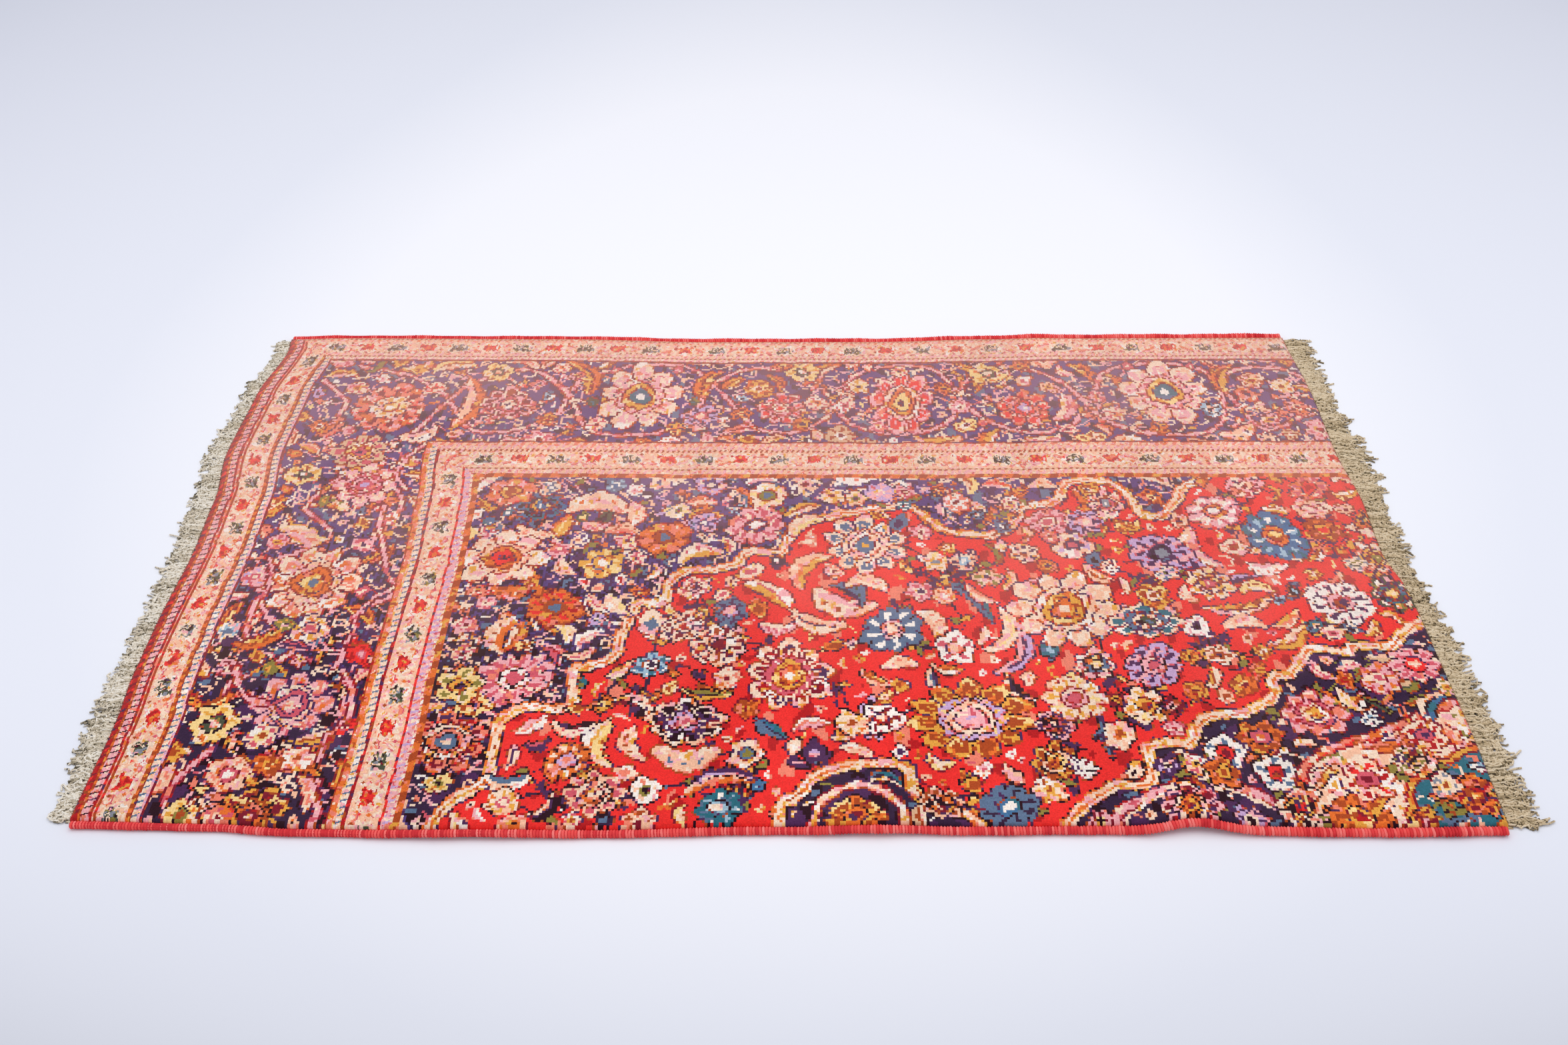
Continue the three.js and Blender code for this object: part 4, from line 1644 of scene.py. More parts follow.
    def fill_grounds(self) -> None:
        """Covers what is left of each ground with curls and small motifs."""
        rest = self.medallion | self.pendant
        for region, tries, sizes, wools, edge in (
            (self.border, 900, (22, 19, 16, 13.5, 11.5), WARM_WOOLS + LIGHT_WOOLS, Yarn.WINE),
            (self.spandrel, 1000, (28, 24, 20, 17, 14.5, 12.5), LIGHT_WOOLS, Yarn.PLUM),
            (rest, 500, (18, 15, 12.5), WARM_WOOLS + COOL_WOOLS, Yarn.INK),
            (self.field, 700, (24, 20, 17, 14.5, 12.5, 10.5), LIGHT_WOOLS, Yarn.WINE),
        ):
            self.sprigs(region, tries, sizes, wools, edge)
        for region, tries, yarns in (
            (self.border, 1500, (Yarn.PINK, Yarn.PEACH, Yarn.IVORY)),
            (self.spandrel, 700, (Yarn.PEACH, Yarn.IVORY, Yarn.PINK)),
            (rest, 120, (Yarn.CORAL, Yarn.IVORY, Yarn.OLIVE)),
            (self.field, 90, (Yarn.INK, Yarn.GOLD, Yarn.IVORY)),
        ):
            self.curls(region, tries, yarns)
        for region, tries, sizes in (
            (self.border, 4200, (10, 8, 6.5, 5.2)), (self.spandrel, 2800, (10, 8, 6.5, 5)),
            (rest, 700, (8, 6.5, 5.2)), (self.field, 900, (8.5, 6.5, 5)),
        ):
            self.sprigs(region, tries, sizes, LIGHT_WOOLS, None)

    def weave(self) -> np.ndarray:
        """Draws the whole design, from the grounds up.

        Returns:
            The yarn of each knot, in rows from the far edge.
        """
        self.grounds()
        self.outlines()
        for points in BORDER_VINES:
            self.weaver.stroke(points, 6, Yarn.PINK, Yarn.WINE)
        for region, yarn, leaf_yarns, longest in (
            (self.border, Yarn.PINK, (Yarn.CORAL, Yarn.IVORY, Yarn.GOLD), 110),
            (self.spandrel, Yarn.PEACH, (Yarn.IVORY, Yarn.ORANGE, Yarn.OLIVE), 110),
            (self.field, Yarn.NAVY, (Yarn.OLIVE, Yarn.PLUM, Yarn.GOLD), 120),
            (self.medallion, Yarn.OLIVE, (Yarn.ORANGE, Yarn.OLIVE, Yarn.IVORY), 100),
        ):
            self.stems(region, yarn, leaf_yarns, longest)
        self.motifs(self.border)
        for points in NEAR_VINES:
            self.weaver.stroke(points, 5.5, Yarn.PINK, Yarn.WINE)
        self.motifs(self.inner)
        self.fill_grounds()
        self.soften_outlines()
        self.shade_edges()
        self.mottle(self.chart)
        self.bands()
        for row in GUARD_ROWS:
            self.guard(row)
        self.mottle(self.fine)
        blocks = self.chart.yarns.repeat(KNOTS_PER_BLOCK, 0).repeat(KNOTS_PER_BLOCK, 1)
        open_ground = self.fine_zones.within(*MAIN_BORDER) | (self.fine_zones.depth >= FIELD_START)
        return np.where(open_ground, blocks, self.fine.yarns)


class Graph:
    """Shorthand for building a tree of nodes."""

    def __init__(self, tree: bpy.types.NodeTree) -> None:
        """Keeps the tree that is built."""
        self.tree = tree

    def node(self, kind: str, inputs: dict[int | str, object] | None = None,
             **settings: object) -> bpy.types.Node:
        """Adds a node.

        Args:
            kind: The node's type name.
            inputs: Values or source sockets for its inputs, by name or place.
            **settings: Properties of the node itself.

        Returns:
            The new node.
        """
        made = self.tree.nodes.new(kind)
        for name, value in settings.items():
            setattr(made, name, value)
        for name, value in (inputs or {}).items():
            if isinstance(value, Socket):
                self.link(value, made, name)
            else:
                made.inputs[name].default_value = value
        return made

    def link(self, source: Socket, target: bpy.types.Node, name: int | str) -> None:
        """Links a socket to a node's input."""
        self.tree.links.new(source, target.inputs[name])

    def out(self, kind: str, inputs: dict[int | str, object] | None = None, socket: int | str = 0,
            **settings: object) -> Socket:
        """Adds a node and gives its first output, or the one that is named."""
        return self.node(kind, inputs, **settings).outputs[socket]

    def math(self, operation: str, *values: object) -> Socket:
        """Adds a Math node (ShaderNodeMath serves both kinds of tree) and gives its result."""
        return self.out("ShaderNodeMath", dict(enumerate(values)), operation=operation)

    def vector(self, operation: str, *values: object) -> Socket:
        """Adds a Vector Math node and gives its vector."""
        return self.out("ShaderNodeVectorMath", dict(enumerate(values)), operation=operation)

    def xyz(self, *values: object) -> Socket:
        """Adds a Combine XYZ node and gives its vector."""
        return self.out("ShaderNodeCombineXYZ", dict(enumerate(values)))

    def parts(self, vector: Socket) -> list[Socket]:
        """Adds a Separate XYZ node and gives its three numbers."""
        return list(self.node("ShaderNodeSeparateXYZ", {0: vector}).outputs)

    def noise(self, place: Socket, scale: float, detail: float = 2.0, socket: int | str = 0) -> Socket:
        """Adds a Noise Texture read at a place, and gives its number or another output."""
        return self.out("ShaderNodeTexNoise", {"Vector": place, "Scale": scale, "Detail": detail}, socket)

    def stray(self, place: Socket, scale: float, detail: float) -> Socket:
        """Adds a Noise Texture as a vector that strays to all sides of zero."""
        return self.vector("SUBTRACT", self.noise(place, scale, detail, "Color"), (0.5,) * 3)

    def between(self, value: object, low: float, high: float, to_low: float, to_high: float) -> Socket:
        """Adds a Map Range node and gives its clamped result."""
        return self.out("ShaderNodeMapRange", {0: value, 1: low, 2: high, 3: to_low, 4: to_high})

    def mix(self, share: object, first: object, second: object, blend: str = "MIX") -> Socket:
        """Adds a colour Mix node and gives its colour."""
        inputs = {0: share, 6: first, 7: second}
        return self.out("ShaderNodeMix", inputs, 2, data_type="RGBA", blend_type=blend)

    def ramp(self, share: object, stops: Sequence[tuple[float, str]],
             interpolation: str = "LINEAR") -> Socket:
        """Adds a Color Ramp node and gives its colour.

        Args:
            share: The place on the ramp, a value or a socket.
            stops: Places and hexadecimal colours, in order.
            interpolation: How the ramp runs between its stops.

        Returns:
            The colour's socket.
        """
        made = self.node("ShaderNodeValToRGB", {0: share})
        band = made.color_ramp
        band.interpolation = interpolation
        for _ in stops[2:]:
            band.elements.new(1.0)
        for element, (place, code) in zip(band.elements, stops):
            element.position = place
            element.color = linear_colour(code)
        return made.outputs[0]

    def circle(self, sides: int, radius: Socket) -> Socket:
        """Adds a Curve Circle node and gives its curve."""
        return self.out("GeometryNodeCurvePrimitiveCircle", {"Resolution": sides, "Radius": radius})

    def named(self, title: str) -> Socket:
        """Adds a node that reads a stored number."""
        return self.out("GeometryNodeInputNamedAttribute", {0: title}, data_type="FLOAT")

    def stored(self, shape: Socket, title: str, value: Socket) -> Socket:
        """Adds a node that stores a number at each point of a shape."""
        inputs = {"Geometry": shape, "Name": title, "Value": value}
        return self.out("GeometryNodeStoreNamedAttribute", inputs, data_type="FLOAT", domain="POINT")


def new_material(name: str, rough: float, sheen: float, sheen_rough: float
                 ) -> tuple[Graph, bpy.types.Node, bpy.types.Material]:
    """Starts a fibre material.

    Args:
        name: The material's name.
        rough: The roughness.
        sheen: The weight of the fibres' sheen.
        sheen_rough: The sheen's own roughness.

    Returns:
        The graph, its shader node and the material.
    """
    material = bpy.data.materials.new(name)
    material.use_nodes = True
    shader = material.node_tree.nodes["Principled BSDF"]
    for title, value in (("Roughness", rough), ("IOR", 1.12), ("Sheen Weight", sheen),
                         ("Sheen Roughness", sheen_rough)):
        shader.inputs[title].default_value = value
    return Graph(material.node_tree), shader, material


class Side(Enum):
    """The two faces of the knotted cloth."""

    PILE = "rug_pile"
    BACK = "rug_back"


@dataclass(frozen=True)
class KnotFinish:
    """The knotted wool, coloured knot by knot from the rows of yarn numbers that each face carries."""

    side: Side
    rough: float = 0.92
    jitter: float = 0.75
    knot_tone: float = 0.13
    tuft: float = 0.35
    relief: float = 0.0009

    def knot(self, graph: Graph) -> tuple[Socket, Socket]:
        """Adds the nodes that find one knot, at a place strayed a little so that its edges are uneven.

        Args:
            graph: The material's graph.

        Returns:
            The column and row of its face's first knot, and its own within the face, as vectors.
        """
        place = graph.out("ShaderNodeUVMap", uv_map="knots")
        stray = graph.vector("MULTIPLY", graph.stray(place, 0.8, 1.0), (self.jitter,) * 3)
        face = graph.vector("FLOOR", graph.vector("DIVIDE", place, (KNOTS_PER_FACE,) * 3))
        first = graph.vector("MULTIPLY", face, (KNOTS_PER_FACE,) * 3)
        local = graph.vector("SUBTRACT", graph.vector("ADD", place, stray), first)
        local = graph.vector("MAXIMUM", local, (0.0,) * 3)
        return first, graph.vector("FLOOR", graph.vector("MINIMUM", local, (KNOTS_PER_FACE - 0.01,) * 3))

    def number(self, graph: Graph, local: Socket) -> Socket:
        """Adds the nodes that read a knot's yarn number from its face's packed rows.

        Args:
            graph: The material's graph.
            local: The knot's column and row within its face.

        Returns:
            The yarn number.
        """
        column, row, _ = graph.parts(local)
        packed = graph.node("ShaderNodeAttribute", attribute_name="knot_rows").outputs
        red, green, blue = graph.node("ShaderNodeSeparateColor", {0: packed["Color"]}).outputs
        chosen: object = 0.0
        for index, digits in enumerate((red, green, blue, packed["Alpha"])):
            chosen = graph.math("MULTIPLY_ADD", digits, graph.math("COMPARE", row, float(index), 0.1), chosen)
        power = graph.math("POWER", float(YARN_BASE), column)
        shifted = graph.math("FLOOR", graph.math("DIVIDE", graph.math("ADD", chosen, 0.5), power))
        return graph.math("FLOORED_MODULO", shifted, float(YARN_BASE))

    def dyed(self, graph: Graph, place: Socket) -> Socket:
        """Adds the nodes that dye each knot, uneven from knot to knot, by rows and in clouds.

        Args:
            graph: The material's graph.
            place: The place on the rug.

        Returns:
            The colour.
        """
        first, local = self.knot(graph)
        share = graph.math("DIVIDE", graph.math("ADD", self.number(graph, local), 0.5), float(YARN_BASE))
        colour = graph.ramp(share, [(yarn / YARN_BASE, dye) for yarn, dye in DYES.items()], "CONSTANT")
        knot = graph.vector("ADD", first, local)
        single = graph.out("ShaderNodeTexWhiteNoise", {"Vector": knot}, noise_dimensions="2D")
        tone = graph.between(single, 0, 1, 1 - self.knot_tone, 1 + self.knot_tone)
        bands = graph.noise(graph.vector("MULTIPLY", place, (1.0, 0.08, 0.0)), 14.0, 3.0)
        tone = graph.math("MULTIPLY", tone, graph.between(bands, 0.3, 0.7, 0.93, 1.07))
        clouds = graph.noise(place, 9.0, 3.0)
        tone = graph.math("MULTIPLY", tone, graph.between(clouds, 0.3, 0.7, 0.93, 1.06))
        grey = graph.out("ShaderNodeCombineColor", {0: tone, 1: tone, 2: tone})
        return graph.mix(1.0, colour, grey, "MULTIPLY")

    def paled(self, graph: Graph, place: Socket, colour: Socket) -> Socket:
        """Adds the nodes that pale the pile with painted sheen towards the far edge and in worn patches, and
        the back all over.

        Args:
            graph: The material's graph.
            place: The place on the rug.
            colour: The dyed colour.

        Returns:
            The paler colour.
        """
        if self.side is Side.BACK:
            return graph.mix(0.12, colour, linear_colour("c9b79a"))
        y = graph.parts(place)[1]
        # Painted sheen: up to 0.26 of a pale pink is mixed into the pile towards the far edge, in place of
        # the sheen of pile seen at a grazing angle; the worn patches below are wear
        far = graph.between(y, -0.25, 0.45, 0.0, 0.26)
        worn = graph.between(graph.noise(place, 5.0, 3.0), 0.4, 0.66, 0.0, 0.13)
        worn = graph.math("MULTIPLY", worn, graph.between(y, -0.4, 0.05, 0.1, 1.0))
        return graph.mix(graph.math("ADD", far, worn), colour, linear_colour("f3b9a6"))

    def tufted(self, graph: Graph) -> Socket:
        """Adds the nodes that raise each knot's tuft.

        Args:
            graph: The material's graph.

        Returns:
            The normal.
        """
        place = graph.out("ShaderNodeUVMap", uv_map="knots")
        cell = graph.vector("ABSOLUTE", graph.vector("SUBTRACT", graph.vector("FRACTION", place), (0.5,) * 3))
        tuft = graph.between(graph.math("MAXIMUM", *graph.parts(cell)[:2]), 0.25, 0.5, 1.0, 0.0)
        height = graph.math("MULTIPLY_ADD", tuft, self.tuft, graph.noise(place, 1.9, 3.0))
        return graph.out("ShaderNodeBump", {"Strength": 0.7, "Distance": self.relief, "Height": height})

    def material(self) -> bpy.types.Material:
        """Builds the material of one face of the cloth.

        Returns:
            The material.
        """
        graph, shader, material = new_material(self.side.value, self.rough, 0.08, 0.5)
        place = graph.out("ShaderNodeTexCoord", None, "Object")
        graph.link(self.paled(graph, place, self.dyed(graph, place)), shader, "Base Color")
        graph.link(self.tufted(graph), shader, "Normal")
        shader.inputs["Sheen Tint"].default_value = linear_colour("ffe6da")
        return material


@dataclass(frozen=True)
class YarnFinish:
    """Spun yarn of one range of tones, read from each strand's own tone attribute."""

    name: str
    tones: tuple[str, ...]
    grain: float
    sheen: float = 0.15
    right_cast: str = "ffffff"
    # How deep the painted shadow in the gaps between strands is, as dark specks
    strand_gap_shadow: float = 0.0

    def material(self) -> bpy.types.Material:
        """Builds the material of the spun yarn.

        Returns:
            The material.
        """
        graph, shader, material = new_material(self.name, 0.9, self.sheen, 0.4)
        place = graph.out("ShaderNodeTexCoord", None, "Object")
        own = graph.out("ShaderNodeAttribute", None, "Fac", attribute_name="tone")
        mottled = graph.noise(place, 220.0)
        share = graph.math("ADD", graph.math("MULTIPLY", own, 0.75), graph.math("MULTIPLY", mottled, 0.3))
        # Painted shadow: where a fine noise is high the tone drops, as dark specks in place of the shade
        # between strands
        shadow = graph.between(graph.noise(place, 330.0, 1.0), 0.58, 0.66, 0.0, self.strand_gap_shadow)
        last = len(self.tones) - 1
        colour = graph.ramp(graph.math("SUBTRACT", share, shadow),
                            [(index / last, tone) for index, tone in enumerate(self.tones)])
        browner = graph.mix(1.0, colour, linear_colour(self.right_cast), "MULTIPLY")
        colour = graph.mix(graph.between(graph.parts(place)[0], -0.5, 0.5, 0.0, 1.0), colour, browner)
        graph.link(colour, shader, "Base Color")
        fibres = graph.noise(graph.vector("MULTIPLY", place, (1.0, 1.0, 0.4)), self.grain)
        bump = graph.out("ShaderNodeBump", {"Strength": 0.6, "Distance": 0.0004, "Height": fibres})
        graph.link(bump, shader, "Normal")
        return material


def new_piece(name: str, vertices: np.ndarray, faces: Sequence[Sequence[int]]) -> bpy.types.Object:
    """Makes a mesh object and puts it in the scene.

    Args:
        name: The object's name.
        vertices: Places in metres.
        faces: The corners of each face.

    Returns:
        The new object.
    """
    mesh = bpy.data.meshes.new(name)
    mesh.from_pydata(vertices.tolist(), [], faces)
    mesh.update()
    piece = bpy.data.objects.new(name, mesh)
    bpy.context.scene.collection.objects.link(piece)
    return piece


def store(piece: bpy.types.Object, title: str, values: np.ndarray) -> None:
    """Stores a number for each point of a piece."""
    attribute = piece.data.attributes.new(title, "FLOAT", "POINT")
    attribute.data.foreach_set("value", values.astype(np.float32))


def dress(piece: bpy.types.Object, slot: str, *nodes: str) -> None:
    """Hides the CAD nodes that a piece replaces, and sets it to ride on the rug.

    Args:
        piece: The finished piece.
        slot: The name of its slot; not used.
        *nodes: The CAD nodes it replaces.
    """
    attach(piece, "root")
    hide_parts(*nodes)
    LOG.info("%s: %d faces", piece.name, len(piece.data.polygons))


@dataclass
class RugCloth:
    """The knotted cloth: pile above, the knots' backs below, and a rounded rim."""

    yarns: np.ndarray
    unevenness: float = 0.35
    # How far the pile is below its full height, how far its rim is drawn in, and where the rim's waist is
    settled: float = 0.45
    rim_inset: float = 0.8
    waist_height: float = 0.38 * CLOTH_THICKNESS

    # The baking map: the pile above, the back below, and two narrow rows for the rim between them
    BAKE_PILE, BAKE_BACK = 0.73, 0.24
    BAKE_RIM, BAKE_RIM_TALL = (0.245, 0.258), 0.01

    def packed_rows(self) -> np.ndarray:
        """Packs the yarns of each face, four knots a row, as digits of four numbers.

        Returns:
            One row of four numbers for each face, in the order of the faces.
        """
        upward = self.yarns[::-1].astype(np.float64)
        n = KNOTS_PER_FACE
        blocks = upward.reshape(KNOTS_ACROSS // n, n, KNOTS_ALONG // n, n).transpose(0, 2, 1, 3)
        return (blocks * float(YARN_BASE) ** np.arange(n)).sum(-1).reshape(-1, n)

    def faces(self, rows: int, columns: int) -> tuple[np.ndarray, np.ndarray]:
        """Joins the corners: the pile's faces, the back's, and the two rows round the rim.

        Args:
            rows: Rows of face corners.
            columns: Columns of face corners.

        Returns:
            The faces, and the rim's corners in order.
        """
        count = rows * columns
        grid = np.arange(count).reshape(rows, columns)
        a, b, c, d = grid[:-1, :-1], grid[:-1, 1:], grid[1:, 1:], grid[1:, :-1]
        upper = np.stack([a, b, c, d], -1).reshape(-1, 4)
        lower = np.stack([a, d, c, b], -1).reshape(-1, 4) + count
        ring = np.concatenate([grid[0, :-1], grid[:-1, -1], grid[-1, :0:-1], grid[:0:-1, 0]])
        waist = 2 * count + np.arange(len(ring))
        walls = [np.stack([below, np.roll(below, -1), np.roll(above, -1), above], -1)
                 for below, above in ((waist, ring), (ring + count, waist))]
        return np.concatenate([upper, lower, *walls]), ring

    def corners(self, x: np.ndarray, y: np.ndarray, lift: np.ndarray, ring: np.ndarray) -> np.ndarray:
        """Works out the corners' places: the pile's, the back's and those of the rim's waist.

        Args:
            x: Places along the rug, in rows.
            y: Places across it.
            lift: The height of the underside.
            ring: The rim's corners in order.

        Returns:
            One row for each corner, in millimetres.
        """
        rim = np.ones(x.shape, bool)
        rim[1:-1, 1:-1] = False
        rough = self.unevenness * wave_noise(x, y, 11, (23, 47, 110))
        top = lift + CLOTH_THICKNESS - np.where(rim, RIM_DROP, self.settled - rough)
        x, y, lift, top, rim = (part.ravel() for part in (x, y, lift, top, rim))
        inset = np.where(rim, self.rim_inset, 0.0)
        from_x, from_y = x - x.mean(), y - y.mean()
        pile = np.column_stack([x - np.sign(from_x) * inset * (np.abs(from_x) > 700),
                                y - np.sign(from_y) * inset * (np.abs(from_y) > 400), top])
        waist = np.column_stack([x[ring], y[ring], lift[ring] + self.waist_height])
        return np.concatenate([pile, np.column_stack([x, y, lift]), waist])

    def build(self) -> bpy.types.Object:
        """Builds the cloth with its knots, UV maps and materials.

        Returns:
            The cloth.
        """
        columns, rows = KNOTS_ALONG // KNOTS_PER_FACE + 1, KNOTS_ACROSS // KNOTS_PER_FACE + 1
        x, y, lift = Outline.laid(*np.meshgrid(np.linspace(0, 1, columns), np.linspace(0, 1, rows)))
        faces, ring = self.faces(rows, columns)
        piece = new_piece("rug_cloth", self.corners(x, y, lift, ring) * MM, faces.tolist())
        self.map_knots(piece.data, rows, columns, ring)
        back = KnotFinish(Side.BACK, rough=0.85, jitter=0.3, knot_tone=0.16, tuft=0.8, relief=0.0006)
        for finish in (KnotFinish(Side.PILE), back):
            piece.data.materials.append(finish.material())
        one_side = (rows - 1) * (columns - 1)
        backs = np.zeros(len(faces), np.int32)
        backs[one_side:2 * one_side] = 1
        piece.data.polygons.foreach_set("material_index", backs)
        piece.data.shade_smooth()
        return piece

    def map_knots(self, mesh: bpy.types.Mesh, rows: int, columns: int, ring: np.ndarray) -> None:
        """Gives the cloth its knot rows, its map of knots and its map for baking.

        Args:
            mesh: The cloth's mesh.
            rows: Rows of face corners.
            columns: Columns of face corners.
            ring: The rim's corners in order.
        """
        corners = np.stack(np.meshgrid(np.arange(columns), np.arange(rows)), -1).reshape(-1, 2)
        corners = np.concatenate([corners, corners, corners[ring]]).astype(float) * KNOTS_PER_FACE
        loops = np.empty(len(mesh.loops), np.int32)
        mesh.loops.foreach_get("vertex_index", loops)
        knots = corners[loops]
        wall_start = 4 * 2 * (rows - 1) * (columns - 1)
        inner = np.clip(knots[wall_start:], 0.5, [KNOTS_ALONG - 0.5, KNOTS_ACROSS - 0.5])
        knots[wall_start:] = inner
        face_column, face_row = (inner.reshape(-1, 4, 2).mean(1) // KNOTS_PER_FACE).astype(int).T
        packed = self.packed_rows()
        rim_rows = packed[face_row * (columns - 1) + face_column]
        attribute = mesh.attributes.new("knot_rows", "FLOAT_COLOR", "FACE")
        colours = np.concatenate([packed, packed, rim_rows]).astype(np.float32)
        attribute.data.foreach_set("color", colours.ravel())
        bake = knots / [KNOTS_ALONG, KNOTS_ACROSS]
        bake[:, 1] = 1 - self.BAKE_PILE + self.BAKE_PILE * knots[:, 1] / KNOTS_ACROSS
        back = slice(wall_start // 2, wall_start)
        bake[back, 1] = self.BAKE_BACK * knots[back, 1] / KNOTS_ACROSS
        count = len(ring)
        steps = np.tile(np.arange(count)[:, None] + np.array([0, 1, 1, 0]), (2, 1)) / count
        rise = np.tile([0.0, 0.0, self.BAKE_RIM_TALL, self.BAKE_RIM_TALL], 2 * count)
        bake[wall_start:] = np.column_stack([steps.ravel(), np.repeat(self.BAKE_RIM, 4 * count) + rise])
        for title, places in (("knots", knots), ("OFBake", bake)):
            mesh.uv_layers.new(name=title).data.foreach_set("uv", places.astype(np.float32).ravel())
        mesh.uv_layers.active = mesh.uv_layers["knots"]


class Growth:
    """Builds a Geometry Nodes tree and turns its result into a plain mesh."""

    KINDS = {int: "NodeSocketInt", float: "NodeSocketFloat", bpy.types.Material: "NodeSocketMaterial"}

    def __init__(self, name: str, values: dict[str, object]) -> None:
        """Starts the tree.

        Args:
            name: The tree's name.
            values: The named inputs and their values.
        """
        self.tree = bpy.data.node_groups.new(name, "GeometryNodeTree")
        self.graph = Graph(self.tree)
        self.values = values
        self.tree.interface.new_socket("Geometry", in_out="INPUT", socket_type="NodeSocketGeometry")
        for title, value in values.items():
            self.tree.interface.new_socket(title, in_out="INPUT", socket_type=self.KINDS[type(value)])
        self.tree.interface.new_socket("Geometry", in_out="OUTPUT", socket_type="NodeSocketGeometry")
        self.inputs = self.tree.nodes.new("NodeGroupInput").outputs

    def finish(self, shape: Socket) -> None:
        """Ends the tree with its instances realized and its material set.

        Args:
            shape: The shape that the tree gives.
        """
        real = self.graph.out("GeometryNodeRealizeInstances", {0: shape})
        finish = self.inputs["Material"]
        made = self.graph.out("GeometryNodeSetMaterial", {"Geometry": real, "Material": finish})
        self.graph.link(made, self.tree.nodes.new("NodeGroupOutput"), 0)

    def grow(self, piece: bpy.types.Object) -> None:
        """Runs the tree on a piece, with its inputs set by identifier, and keeps the result as its mesh.

        Args:
            piece: The piece that the tree starts from.
        """
        modifier = piece.modifiers.new(self.tree.name, "NODES")
        modifier.node_group = self.tree
        for item in self.tree.interface.items_tree:
            if item.in_out == "INPUT" and item.name in self.values:
                modifier[item.identifier] = self.values[item.name]
        evaluated = piece.evaluated_get(bpy.context.evaluated_depsgraph_get())
        mesh = bpy.data.meshes.new_from_object(evaluated)
        piece.modifiers.clear()
        mesh.materials.clear()
        mesh.materials.append(self.values["Material"])
        mesh.polygons.foreach_set("material_index", np.zeros(len(mesh.polygons), np.int32))
        start = piece.data
        piece.data = mesh
        mesh.name = piece.name
        mesh.shade_smooth()
        bpy.data.meshes.remove(start)


